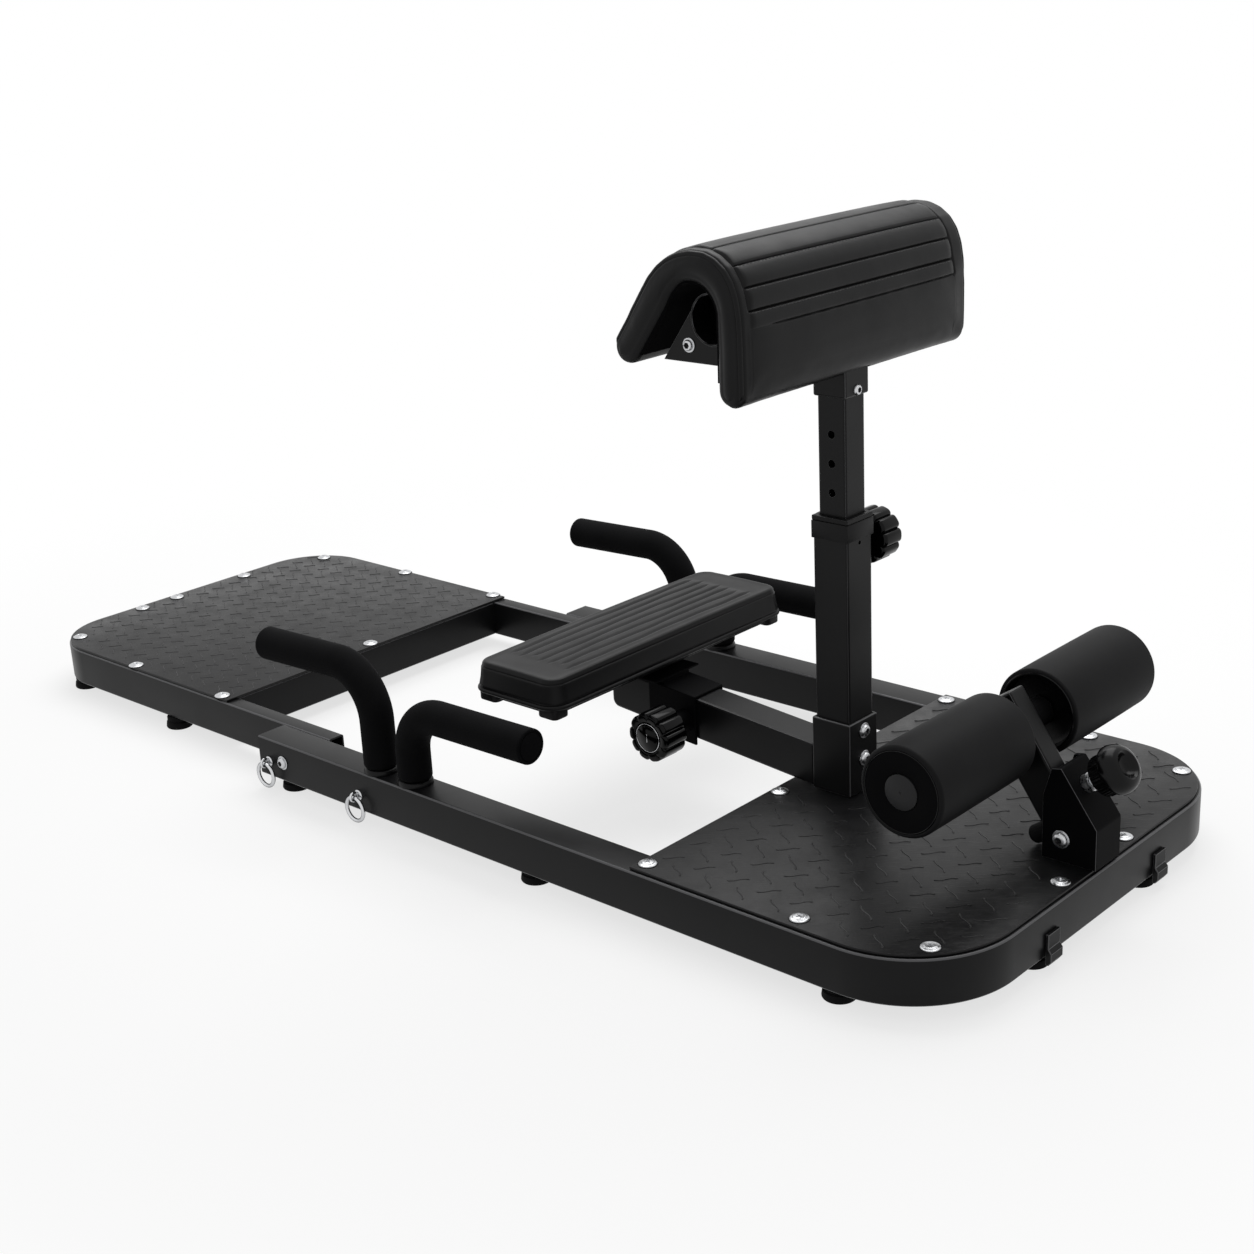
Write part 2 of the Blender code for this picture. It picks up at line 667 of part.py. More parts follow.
drop = BEAM_HEIGHT / math.cos(BEAM_SLOPE)
rear_top = beam_top(BEAM_REAR_X)
beam = [(BEAM_FRONT_X, beam_top(BEAM_FRONT_X)), (BEAM_REAR_X, rear_top)]
beam += arc(BEAM_REAR_X + BEAM_ROUND, rear_top - drop + BEAM_ROUND, BEAM_ROUND, 180, 265, 5)
beam += [(BEAM_FRONT_X, beam_top(BEAM_FRONT_X) - drop)]
centre_beam = prism(
    "centre_beam", beam, -BEAM_WIDTH / 2, BEAM_WIDTH / 2, "powder_coat", along="Y"
)
round_edges(centre_beam, TUBE_EDGE, 2, 50)
inner_rear = BEAM_REAR_X + BEAM_ROUND
past = BEAM_FRONT_X + THROUGH
hollow_line = [(past, beam_top(past) - WALL), (inner_rear, beam_top(inner_rear) - WALL)]
hollow_line += [(inner_rear, beam_top(inner_rear) - drop + WALL), (past, beam_top(past) - drop + WALL)]
cut(centre_beam, prism("beam_hollow", hollow_line, WALL - BEAM_WIDTH / 2, BEAM_WIDTH / 2 - WALL, along="Y"))


def sloped(x0, x1, above, below):
    """Outline in X and Z that follows the beam's slope."""
    top = [(x1, beam_top(x1) + above), (x0, beam_top(x0) + above)]
    return top + [(x0, beam_top(x0) - below), (x1, beam_top(x1) - below)]


half = BEAM_WIDTH / 2 + SADDLE_PLAY
outer_half = half + SADDLE_WALL
plate_low = beam_top(SADDLE_PLATE_X[0]) + SADDLE_PLAY
plate_high = plate_low + SADDLE_PLATE
base_low = plate_high + GAP
seat_saddle = prism(
    "seat_saddle",
    sloped(*SADDLE_X, SADDLE_PLAY + SADDLE_WALL, SADDLE_SIDE - SADDLE_PLAY),
    -outer_half,
    outer_half,
    "powder_coat",
    along="Y",
)
round_edges(seat_saddle, 0.0012)
saddle_plate = box(
    "saddle_plate",
    (SADDLE_PLATE_X[0], -SADDLE_PLATE_HALF, plate_low),
    (SADDLE_PLATE_X[1], SADDLE_PLATE_HALF, plate_high),
)
saddle_block = prism(
    "saddle_block",
    [
        (SADDLE_X[0] + 0.002, beam_top(SADDLE_X[0]) + SADDLE_PLAY + SADDLE_WALL / 2),
        (SADDLE_PLATE_X[1] - 0.002, beam_top(SADDLE_PLATE_X[1]) + SADDLE_PLAY + SADDLE_WALL / 2),
        (SADDLE_PLATE_X[1] - 0.002, plate_low + SADDLE_PLATE / 2),
        (SADDLE_X[0] + 0.002, plate_low + SADDLE_PLATE / 2),
    ],
    0.003 - outer_half,
    outer_half - 0.003,
    along="Y",
)
seat_place = (SEAT_KNOB_X, 0, SEAT_KNOB_Z)
seat_boss = rod(
    "seat_boss", BOSS_R + 0.0015, outer_half - WALL / 2, SEAT_BOSS_Y, None, seat_place, AGAINST_Y, 24
)
join(seat_saddle, saddle_plate, saddle_block, seat_boss)
saddle_hollow = prism(
    "saddle_hollow",
    sloped(SADDLE_X[0] - THROUGH, SADDLE_X[1] + THROUGH, SADDLE_PLAY, SADDLE_SIDE + THROUGH),
    -half,
    half,
    along="Y",
)
seat_hole = rod(
    "seat_hole", STUD_R + GAP, 0, SEAT_BOSS_Y + THROUGH, place=seat_place, turn=AGAINST_Y, sides=16
)
cut(seat_saddle, saddle_hollow, seat_hole)

stud("seat_stud", BEAM_WIDTH / 2 + TIP_GAP, SEAT_KNOB_Y[0] + STUD_IN_KNOB, seat_place, AGAINST_Y)
star_knob("seat_knob", KNOB_R, SEAT_KNOB_Y[0], SEAT_KNOB_Y[1] - KNOB_DISC, seat_place, AGAINST_Y)


def rounded(x0, x1, half_y, corner, steps=5):
    points = arc(x1 - corner, corner - half_y, corner, -90, 0, steps)
    points += arc(x1 - corner, half_y - corner, corner, 0, 90, steps)
    points += arc(x0 + corner, half_y - corner, corner, 90, 180, steps)
    points += arc(x0 + corner, corner - half_y, corner, 180, 270, steps)
    return points


seat_base = prism(
    "seat_base",
    rounded(SEAT_X[0] + BASE_INSET, SEAT_X[1] - BASE_INSET, SEAT_HALF - BASE_INSET, BASE_CORNER),
    SEAT_LOW - BASE_THICK,
    SEAT_LOW - GAP,
    "seat_base_plastic",
)
base_middle = SEAT_LOW - BASE_THICK / 2
riser_low = (SADDLE_PLATE_X[0], -SADDLE_PLATE_HALF, base_low)
join(seat_base, box("seat_riser", riser_low, (SADDLE_PLATE_X[1] - LUG_INSET, SADDLE_PLATE_HALF, base_middle)))
lug_inset = BASE_INSET + LUG_INSET
lug_low = SEAT_LOW - LUG_DROP
for i, x in enumerate((SEAT_X[0] + lug_inset, SEAT_X[1] - lug_inset - LUG)):
    for j, y in enumerate((lug_inset - SEAT_HALF, SEAT_HALF - lug_inset - LUG)):
        lug = box("lug_%d_%d" % (i, j), (x, y, lug_low), (x + LUG, y + LUG, base_middle))
        join(seat_base, round_edges(lug, 0.0015))

seat_pad = prism("seat_pad", rounded(*SEAT_X, SEAT_HALF, SEAT_CORNER), SEAT_LOW, SEAT_HIGH, "seat_rubber")
middle_x = (SEAT_X[0] + SEAT_X[1]) / 2
for corner in seat_pad.data.vertices:
    if corner.co.z > (SEAT_LOW + SEAT_HIGH) / 2:
        corner.co.x += SEAT_DRAFT if corner.co.x < middle_x else -SEAT_DRAFT
        corner.co.y += SEAT_DRAFT if corner.co.y < 0 else -SEAT_DRAFT
round_edges(seat_pad, 0.006, 3, 40)
smooth(seat_pad, 50)


# Handles: bent tube with a welded collar, foam grip over it
def handle_line(spec, start):
    """Root going up, a quarter bend, then a straight run that dips or rises a little to the tip."""
    root_x, bend_z, bend_r, top_z, tip_x = spec
    way = 1 if tip_x > root_x else -1
    points = [(root_x, start)]
    if start < bend_z - 0.01:
        points.append((root_x, (start + bend_z) / 2))
    centre = (root_x + way * bend_r, bend_z)
    lean = 88
    for i in range(9):
        angle = math.radians(lean * i / 8)
        points.append((centre[0] - way * bend_r * math.cos(angle), centre[1] + bend_r * math.sin(angle)))
    last = points[-1]
    points.append(((last[0] + tip_x) / 2, (last[1] + top_z) / 2))
    points.append((tip_x, top_z))
    return points


def tube(name, points, y, radius, coat, resolution, shorten=0.0):
    """A round bar swept along points in X and Z."""
    line = list(points)
    if shorten:
        way = 1 if line[-1][0] > line[-2][0] else -1
        line[-1] = (line[-1][0] - way * shorten, line[-1][1])
    curve = bpy.data.curves.new(name, "CURVE")
    curve.dimensions = "3D"
    curve.bevel_depth = radius
    curve.bevel_resolution = resolution
    curve.use_fill_caps = True
    spline = curve.splines.new("POLY")
    spline.points.add(len(line) - 1)
    for point, (x, z) in zip(spline.points, line):
        point.co = (x, y, z, 1)
    guide = bpy.data.objects.new(name + "_guide", curve)
    CUTTERS.objects.link(guide)
    bpy.context.view_layer.update()
    graph = bpy.context.evaluated_depsgraph_get()
    mesh = bpy.data.meshes.new_from_object(guide.evaluated_get(graph))
    bpy.data.objects.remove(guide)
    bm = bmesh.new()
    bm.from_mesh(mesh)
    bmesh.ops.remove_doubles(bm, verts=bm.verts, dist=0.00001)
    made = mesh_of(bm, name)
    return finish(name, made, coat)


for spec, place in ((REAR_HANDLE, "rear"), (FRONT_HANDLE, "front")):
    for side, word in ((-1, "near"), (1, "far")):
        name = place + "_" + word
        y = side * HANDLE_Y
        line = handle_line(spec, FRAME_HIGH + GAP)
        bar = tube("handle_tube_" + name, line, y, HANDLE_TUBE_R, "powder_coat", 3, 0.008)
        weld = rod(
            "handle_collar_" + name,
            COLLAR_R,
            FRAME_HIGH + GAP,
            FRAME_HIGH + GAP + COLLAR_HEIGHT,
            place=(spec[0], y, 0),
            sides=24,
        )
        smooth(join(bar, round_edges(weld, 0.0015)))
        grip = tube("handle_grip_" + name, handle_line(spec, GRIP_START), y, GRIP_R, "foam", 6)
        bore = tube(
            "grip_bore_" + name, handle_line(spec, GRIP_START - THROUGH), y, GRIP_BORE_R, None, 3, 0.007
        )
        cut(grip, bore)
        round_edges(grip, 0.0012, 1, 60)
        smooth(grip, 50)


# Foot rollers: bracket, swing arm with its axle, bumper, rollers and the knob that sets the arm
def along_arm(across, along):
    """A point in X and Z from its distance in front of the arm's centre line and along it."""
    x = PIVOT[0] + across * math.cos(ARM_TURN) + along * math.sin(ARM_TURN)
    z = PIVOT[1] - across * math.sin(ARM_TURN) + along * math.cos(ARM_TURN)
    return x, z


slant_x = BRACKET_TOP[0] - BRACKET_FOLD[0]
slant_z = BRACKET_TOP[1] - BRACKET_FOLD[1]
slant = math.hypot(slant_x, slant_z)
SLANT_TURN = math.atan2(slant_z, -slant_x)


def off_slant(along, out):
    """A point in X and Z from its distance up the slanted plate and out from its face."""
    x = BRACKET_FOLD[0] + along * slant_x / slant + out * slant_z / slant
    z = BRACKET_FOLD[1] + along * slant_z / slant - out * slant_x / slant
    return x, z


bracket_outline = [(BRACKET_REAR_X, ON_DECK), (FRONT_X, ON_DECK), BRACKET_FOLD, BRACKET_TOP]
bracket_outline += [(BRACKET_TOP[0] - BRACKET_TOP_LAND, 0.152), (BRACKET_REAR_X, 0.125)]
roller_bracket = prism(
    "roller_bracket", bracket_outline, -BRACKET_HALF, BRACKET_HALF, "powder_coat", along="Y"
)
round_edges(roller_bracket, 0.0012)
inner_fold = off_slant(0, -BRACKET_WALL)
inner_top = off_slant(slant + THROUGH, -BRACKET_WALL)
front_inner = FRONT_X - BRACKET_WALL
fold_z = inner_fold[1] + (front_inner - inner_fold[0]) * slant_z / slant_x
clear_x = BRACKET_REAR_X - THROUGH
clear_z = ON_DECK - THROUGH
bracket_hollow = prism(
    "bracket_hollow",
    [(clear_x, clear_z), (front_inner, clear_z), (front_inner, fold_z), inner_top, (clear_x, inner_top[1])],
    BRACKET_WALL - BRACKET_HALF,
    BRACKET_HALF - BRACKET_WALL,
    along="Y",
)
stud_turn = (0, math.atan2(slant_z, -slant_x), 0)
plate_point = off_slant(ARM_STUD_S, 0)
plate_place = (plate_point[0], 0, plate_point[1])
arm_nut = rod("arm_nut", 0.0085, -0.002, ARM_NUT, place=plate_place, turn=stud_turn, sides=6)
join(roller_bracket, arm_nut)
arm_stud_hole = rod(
    "arm_stud_hole", STUD_R + GAP, -THROUGH, THROUGH, place=plate_place, turn=stud_turn, sides=16
)
pivot_place = (PIVOT[0], 0, PIVOT[1])
pivot_reach = BRACKET_HALF + THROUGH
pivot_hole = rod("pivot_hole", PIVOT_R + GAP, -pivot_reach, pivot_reach, None, pivot_place, ALONG_Y, 20)
cut(roller_bracket, bracket_hollow, arm_stud_hole, pivot_hole)

head = BRACKET_HALF + GAP
profile = [(0, head + PIVOT_HEAD), (PIVOT_HEAD_R * 0.55, head + PIVOT_HEAD), (PIVOT_HEAD_R, head + 0.002)]
profile += [(PIVOT_HEAD_R, head), (PIVOT_R, head), (PIVOT_R, -head), (PIVOT_HEAD_R, -head)]
profile += [(PIVOT_HEAD_R, -head - 0.006), (0, -head - 0.006)]
smooth(turned("pivot_bolt", profile, "bright_steel", pivot_place, AGAINST_Y, 20))

arm_turn = (0, ARM_TURN, 0)
arm_outline = arc(0, 0, ARM_DEPTH / 2, 180, 360, 10)
arm_outline += [(ARM_DEPTH / 2, ARM_LENGTH + ARM_BEYOND), (-ARM_DEPTH / 2, ARM_LENGTH + ARM_BEYOND)]
swing_arm = prism(
    "swing_arm", arm_outline, -ARM_THICK / 2, ARM_THICK / 2, "powder_coat", "Y", pivot_place, arm_turn
)
round_edges(swing_arm, TUBE_EDGE, 2, 50)
axle_place = (AXLE[0], 0, AXLE[1])
axle_end = ROLLER_Y[1] - 0.007
axle = rod("axle", AXLE_R, -axle_end, axle_end, place=axle_place, turn=ALONG_Y, sides=20)
spacer_half = ROLLER_Y[0] + ROLLER_DISH - GAP
spacer = rod("axle_spacer", SPACER_R, -spacer_half, spacer_half, place=axle_place, turn=ALONG_Y, sides=24)
bush_half = BRACKET_HALF - BRACKET_WALL - GAP
bush = rod("arm_bush", 0.013, -bush_half, bush_half, place=pivot_place, turn=ALONG_Y, sides=24)
join(swing_arm, axle, spacer, bush)
cut(swing_arm, pivot_hole)

bumper_point = along_arm(-ARM_DEPTH / 2 - GAP, BUMPER_S)
bumper_turn = (0, ARM_TURN - math.radians(90), 0)
nose = arc(BUMPER_R - BUMPER_NOSE, BUMPER_LENGTH - BUMPER_NOSE, BUMPER_NOSE, 90, 0, 4)
profile = [(0, BUMPER_LENGTH), *nose, (BUMPER_R, 0), (0, 0)]
smooth(turned("arm_bumper", profile, "foot_rubber", (bumper_point[0], 0, bumper_point[1]), bumper_turn, 20))

bore_r = AXLE_R + ROLLER_PLAY
profile = [(0, ROLLER_Y[1]), (HUB_R, ROLLER_Y[1]), (HUB_R, ROLLER_Y[1] - HUB_RAISE)]
profile += arc(ROLLER_R - ROLLER_EDGE, ROLLER_Y[1] - HUB_RAISE - ROLLER_EDGE, ROLLER_EDGE, 90, 0, 4)
rim = ROLLER_EDGE / 2
profile += arc(ROLLER_R - rim, ROLLER_Y[0] + rim, rim, 0, -90, 3)
profile += [(ROLLER_DISH_R, ROLLER_Y[0]), (ROLLER_DISH_R - 0.002, ROLLER_Y[0] + ROLLER_DISH)]
profile += [(bore_r, ROLLER_Y[0] + ROLLER_DISH), (bore_r, axle_end + 0.002), (0, axle_end + 0.002)]
for word, turn in (("near", AGAINST_Y), ("far", ALONG_Y)):
    smooth(turned("roller_" + word, profile, "roller_foam", axle_place, turn, 36))

stud("arm_stud", -BRACKET_WALL - TIP_GAP, ARM_KNOB[0] + STUD_IN_KNOB, plate_place, stud_turn)
low, high = ARM_KNOB
bore_r = STUD_R + GAP
cap = ((0, 0.007), (0.0085, 0.0065), (0.0115, 0.001), (0.0137, 0), (0.0185, 0.002), (0.0222, 0.007))
profile = [(radius, high - deep) for radius, deep in cap]
profile += [(ARM_KNOB_R, high - 0.012), (ARM_KNOB_R, high - 0.016), (ARM_KNOB_BACK_R + 0.0005, high - 0.0185)]
profile += [(ARM_KNOB_BACK_R, high - 0.020), (ARM_KNOB_BACK_R, low + 0.002), (ARM_KNOB_BACK_R - 0.002, low)]
profile += [(bore_r, low), (bore_r, low + STUD_IN_KNOB + GAP), (0, low + STUD_IN_KNOB + GAP)]
smooth(turned("arm_knob", profile, "knob_plastic", plate_place, stud_turn, 32))

for group in (PARTS, CUTTERS):
    for item in group.objects:
        item.location.x -= MIDDLE_X
bpy.context.view_layer.update()
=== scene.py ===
"""Looks of the glute machine: fine meshes, finishes, floor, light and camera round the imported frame."""

import json
import math
import random

import bmesh
import bpy
from mathutils import Matrix, Vector
from mathutils.kdtree import KDTree

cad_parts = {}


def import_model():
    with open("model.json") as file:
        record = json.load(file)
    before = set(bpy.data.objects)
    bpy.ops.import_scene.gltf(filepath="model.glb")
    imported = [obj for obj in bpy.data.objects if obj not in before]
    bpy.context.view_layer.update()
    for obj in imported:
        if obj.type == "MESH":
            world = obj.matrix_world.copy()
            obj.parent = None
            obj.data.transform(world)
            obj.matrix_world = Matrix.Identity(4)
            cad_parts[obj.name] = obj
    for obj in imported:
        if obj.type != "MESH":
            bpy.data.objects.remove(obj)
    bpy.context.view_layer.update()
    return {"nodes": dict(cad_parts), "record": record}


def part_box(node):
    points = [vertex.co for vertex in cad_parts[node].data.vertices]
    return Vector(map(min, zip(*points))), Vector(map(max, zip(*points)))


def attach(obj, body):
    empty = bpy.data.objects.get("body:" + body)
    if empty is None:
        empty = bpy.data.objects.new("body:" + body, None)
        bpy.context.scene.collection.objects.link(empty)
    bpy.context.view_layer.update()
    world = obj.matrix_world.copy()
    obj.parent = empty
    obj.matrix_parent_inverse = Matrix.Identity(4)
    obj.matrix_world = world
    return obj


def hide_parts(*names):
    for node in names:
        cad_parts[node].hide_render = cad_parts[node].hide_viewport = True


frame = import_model()

# Sizes in metres.  X is measured from the drawing's zero; every mesh is moved to the frame at the end.
DRAWING_X = -0.0127
MM = 0.001
GAP = 0.0003

FRAME_LOW = 0.015
FRAME_HIGH = 0.060
DECK_LOW = 0.0603
DECK_HIGH = 0.063
HALF_WIDTH = 0.265
FRONT_X = 0.695
RAIL_END_X = -0.198
RAIL_WIDTH = 0.038
FRONT_CORNER = 0.108
CROSS_X = 0.3525
CROSS_WIDTH = 0.040
DECK_INSET = 0.0034
ARM_HALF_WIDTH = 0.2262
ARM_WIDTH = 0.020
ARM_END_X = -0.122
REAR_X = -0.695
REAR_CORNER = 0.085
REAR_CROSS_X = -0.330
REAR_CROSS_WIDTH = 0.020
REAR_DECK_X = -0.308
TUBE_ROUND = 0.0025
WALL = 0.002

POST_X = 0.406
POST_HALF = 0.020
TUBE_CENTRE = (POST_X - 0.017, 0.554)
PAD_HALF = 0.176
SEAT_X = (0.069, 0.192)
SEAT_HALF = 0.1875
SEAT_LOW = 0.1505
SEAT_HIGH = 0.1825
HANDLE_Y = 0.246
GRIP_R = 0.018
AXLE = (0.5986, 0.175)
PIVOT = (0.660, 0.086)
ROLLER_R = 0.042
ROLLER_Y = (0.0356, 0.185)


# Finishes
def linear(colour):
    """A linear colour from its sRGB hex value."""
    parts = [int(colour[i:i + 2], 16) / 255 for i in (0, 2, 4)]
    return (*[p / 12.92 if p <= 0.04045 else ((p + 0.055) / 1.055) ** 2.4 for p in parts], 1.0)


def add(material, kind, inputs=(), **settings):
    """A node of that kind in a material or world, with its settings, and with its inputs set or linked."""
    made = material.node_tree.nodes.new("ShaderNode" + kind)
    for name, value in settings.items():
        setattr(made, name, value)
    for socket, value in dict(inputs).items():
        if isinstance(value, bpy.types.NodeSocket):
            material.node_tree.links.new(value, made.inputs[socket])
        else:
            made.inputs[socket].default_value = value
    return made


def shader_of(material):
    return material.node_tree.nodes["Principled BSDF"]


def finish(name, colour, roughness, metallic=0.0, ior=1.5):
    """A material with its plain values on the shader's own sockets."""
    made = bpy.data.materials.new(name)
    made.use_nodes = True
    inputs = shader_of(made).inputs
    for socket, value in (("Roughness", roughness), ("Metallic", metallic), ("IOR", ior)):
        inputs[socket].default_value = value
    inputs["Base Color"].default_value = linear(colour)
    return made


def link(material, output, socket):
    material.node_tree.links.new(output, shader_of(material).inputs[socket])


def grain(material, size, depth, strength, detail=2.0):
    """Fine relief: lumps of that size and depth in millimetres."""
    where = add(material, "TexCoord").outputs["Object"]
    lumps = add(material, "TexNoise", {"Vector": where, "Scale": 1 / (size * MM), "Detail": detail, "Roughness": 0.55})
    relief = add(material, "Bump", {"Height": lumps.outputs["Fac"], "Distance": depth * MM, "Strength": strength})
    link(material, relief.outputs["Normal"], "Normal")


def cloud(material, size, low, high):
    """Broad soft patches between two roughnesses, of that size in millimetres."""
    where = add(material, "TexCoord").outputs["Object"]
    patches = add(material, "TexNoise", {"Vector": where, "Scale": 1 / (size * MM), "Detail": 3.0, "Roughness": 0.6})
    ends = {"From Min": 0.3, "From Max": 0.7, "To Min": low, "To Max": high}
    spread = add(material, "MapRange", {"Value": patches.outputs["Fac"], **ends})
    link(material, spread.outputs["Result"], "Roughness")


def tint(material, size, dark, light):
    """Broad soft patches between two colours, of that size in millimetres."""
    where = add(material, "TexCoord").outputs["Object"]
    patches = add(material, "TexNoise", {"Vector": where, "Scale": 1 / (size * MM), "Detail": 4.0, "Roughness": 0.6})
    ramp = add(material, "ValToRGB", {"Fac": patches.outputs["Fac"]})
    for end, position, colour in zip(ramp.color_ramp.elements, (0.35, 0.65), (dark, light)):
        end.position, end.color = position, linear(colour)
    link(material, ramp.outputs["Color"], "Base Color")


# Polyester powder coat on steel: satin black, with the faint orange peel of a sprayed and baked film
powder_coat = finish("powder_coated_steel", "0d0d0e", 0.36, ior=1.25)
tint(powder_coat, 60, "0b0b0c", "101011")
cloud(powder_coat, 90, 0.31, 0.41)
grain(powder_coat, 1.4, 0.06, 0.22)

# The same coat on the steel's corners and bevels, painted pale grey and glossier: a painted highlight, the light line
# that draws each steel edge
edge_highlight_coat = finish("powder_coat_painted_edge_highlight", "58585a", 0.30, ior=1.4)
cloud(edge_highlight_coat, 30, 0.25, 0.38)

# Near-black, dull coat of the seat's carriage and the roller bracket: painted shade, which keeps these shadowed parts
# nearly black
shade_dark_coat = finish("powder_coat_painted_shade", "050506", 0.6, ior=1.12)
grain(shade_dark_coat, 1.0, 0.05, 0.22)

# Chequered steel sheet with a thin texture coat: near black from above, a grey sheen at a low angle
deck_plate = finish("textured_coated_steel", "121213", 0.34, ior=1.27)
tint(deck_plate, 45, "0f0f10", "161617")
cloud(deck_plate, 30, 0.28, 0.42)
where = add(deck_plate, "TexCoord").outputs["Object"]
turned_round = add(deck_plate, "Mapping", {"Vector": where, "Rotation": (0, 0, math.radians(-42))}).outputs["Vector"]
drawn = add(deck_plate, "Mapping", {"Vector": turned_round, "Scale": (0.07, 1, 1)}).outputs["Vector"]
scratches = add(deck_plate, "TexNoise", {"Vector": drawn, "Scale": 1 / (1.1 * MM), "Detail": 2.0})
picked = add(deck_plate, "MapRange", {"Value": scratches.outputs["Fac"], "From Min": 0.56, "From Max": 0.72})
pebbles = add(deck_plate, "TexNoise", {"Vector": where, "Scale": 1 / (1.0 * MM), "Detail": 6.0})
mixed = add(deck_plate, "Math", {0: picked.outputs["Result"], 1: pebbles.outputs["Fac"]}, operation="ADD")
relief = add(deck_plate, "Bump", {"Height": mixed.outputs[0], "Distance": 0.12 * MM, "Strength": 0.55})
link(deck_plate, relief.outputs["Normal"], "Normal")

# Closed-cell nitrile foam sleeve: matte black, with cells just too fine to count
foam = finish("nitrile_foam", "0f0f10", 0.85, ior=1.14)
tint(foam, 40, "0d0d0e", "121213")
grain(foam, 0.9, 0.12, 0.35, 3.0)

# Moulded foam of the rollers: a tighter skin than the sleeves, with a soft sheen
roller_foam = finish("eva_foam", "111112", 0.60, ior=1.2)
tint(roller_foam, 60, "0f0f10", "141415")
grain(roller_foam, 0.8, 0.08, 0.25, 3.0)

# Polyurethane leather: satin, with a small even grain
leather = finish("pu_leather", "0d0d0e", 0.38, ior=1.25)
tint(leather, 80, "0b0b0c", "101011")
cloud(leather, 50, 0.34, 0.46)
where = add(leather, "TexCoord").outputs["Object"]
cells = add(leather, "TexVoronoi", {"Vector": where, "Scale": 1 / (1.3 * MM)}, feature="SMOOTH_F1")
wrinkles = add(leather, "TexNoise", {"Vector": where, "Scale": 1 / (6 * MM), "Detail": 3.0})
mixed = add(leather, "Math", {0: cells.outputs["Distance"], 1: wrinkles.outputs["Fac"]}, operation="ADD")
relief = add(leather, "Bump", {"Height": mixed.outputs["Value"], "Distance": 0.08 * MM, "Strength": 0.3})
link(leather, relief.outputs["Normal"], "Normal")

# Dull, nearly lightless cloth over the board inside the arch, which faces down: a dark backing, darkened further as
# painted shade
shade_lining_cloth = finish("spun_bonded_cloth_painted_shade", "070708", 0.95, ior=1.15)
grain(shade_lining_cloth, 0.6, 0.05, 0.3)

# Bonded polyester thread, a shade paler than the cover it holds
thread = finish("polyester_thread", "2a2a2b", 0.6, ior=1.4)
grain(thread, 0.4, 0.05, 0.3)

# Moulded polyurethane skin of the seat: even satin with a spark-textured surface
seat_skin = finish("moulded_polyurethane", "0d0d0e", 0.38, ior=1.22)
tint(seat_skin, 70, "0b0b0c", "101011")
cloud(seat_skin, 60, 0.34, 0.44)
grain(seat_skin, 0.8, 0.06, 0.3, 3.0)

# Injection-moulded ABS: satin black tray and trim
abs_plastic = finish("abs", "0b0b0c", 0.45, ior=1.25)
grain(abs_plastic, 0.7, 0.04, 0.25)

# Glossy moulded nylon of the knobs
knob_plastic = finish("glossy_nylon", "050506", 0.14, ior=1.22)
cloud(knob_plastic, 15, 0.10, 0.18)

# Semi-gloss moulded ABS caps in the roller ends: dark, with a crisp light on the lip
cap_plastic = finish("semi_gloss_abs", "080809", 0.24, ior=1.27)
grain(cap_plastic, 1.0, 0.04, 0.15)

# Sunk faces of those caps: a darker, duller copy of the cap plastic, painted shade on the roller ends
shaded_cap_face = finish("abs_painted_shade", "060607", 0.5, ior=1.1)
grain(shaded_cap_face, 0.8, 0.04, 0.2)

# Phenolic knob of the arm: semi-gloss, with a broad light on its rolled rim
phenolic = finish("moulded_phenolic", "060607", 0.22, ior=1.25)
cloud(phenolic, 12, 0.18, 0.27)

# Grey moulded plug in the end of each roller
plug_plastic = finish("grey_abs", "2b2b2c", 0.45, ior=1.25)
grain(plug_plastic, 0.8, 0.05, 0.25)

# Vulcanised rubber feet: matte, with the fine pits of the mould
rubber = finish("rubber", "0a0a0b", 0.78, ior=1.22)
grain(rubber, 1.0, 0.08, 0.3)

# Zinc-plated steel fasteners: bright, slightly milky, with fine turning marks
zinc = finish("zinc_plated_steel", "c6c7c9", 0.3, 1.0)
cloud(zinc, 4, 0.22, 0.38)
grain(zinc, 0.5, 0.02, 0.2)

# Chromed steel rings: bright towards the eye, and dark round their edges from a dark grey edge tint, a painted dark
# reflection
chrome = finish("chromed_steel", "d0d1d3", 0.12, 1.0)
# Dark grey edge tint: painted dark reflection round the wire's edges
shader_of(chrome).inputs["Specular Tint"].default_value = linear("242425")
cloud(chrome, 6, 0.08, 0.18)

# Black washers under the deck screws, as painted contact shadow round each bright head, and black discs on the floors
# of the sockets, as painted shade in the recess
shade_black = finish("painted_shade_black", "0a0a0b", 0.7, ior=1.3)
grain(shade_black, 0.6, 0.04, 0.2)

NODE_FINISH = {
    "powder_coat": powder_coat,
    "deck_plate": deck_plate,
    "grip_foam": foam,
    "roller_foam": roller_foam,
    "pad_cover": leather,
    "seat_rubber": seat_skin,
    "seat_base_plastic": abs_plastic,
    "foot_rubber": rubber,
    "clip_plastic": abs_plastic,
    "liner_plastic": abs_plastic,
    "knob_plastic": knob_plastic,
    "bright_steel": zinc,
    "ring_chrome": chrome,
}
SLOT_OF = {part["node"]: part["material_slot"] for part in frame["record"]["subparts"]}
# Parts that take the near-black coat as painted shade
SHADED_PARTS = ("seat_saddle", "roller_bracket")
for name, node in frame["nodes"].items():
    node.data.materials.clear()
    node.data.materials.append(shade_dark_coat if name in SHADED_PARTS else NODE_FINISH[SLOT_OF[name]])


def modify(holder, name, kind, **settings):
    """A modifier with its settings."""
    made = holder.modifiers.new(name, kind)
    for setting, value in settings.items():
        setattr(made, setting, value)


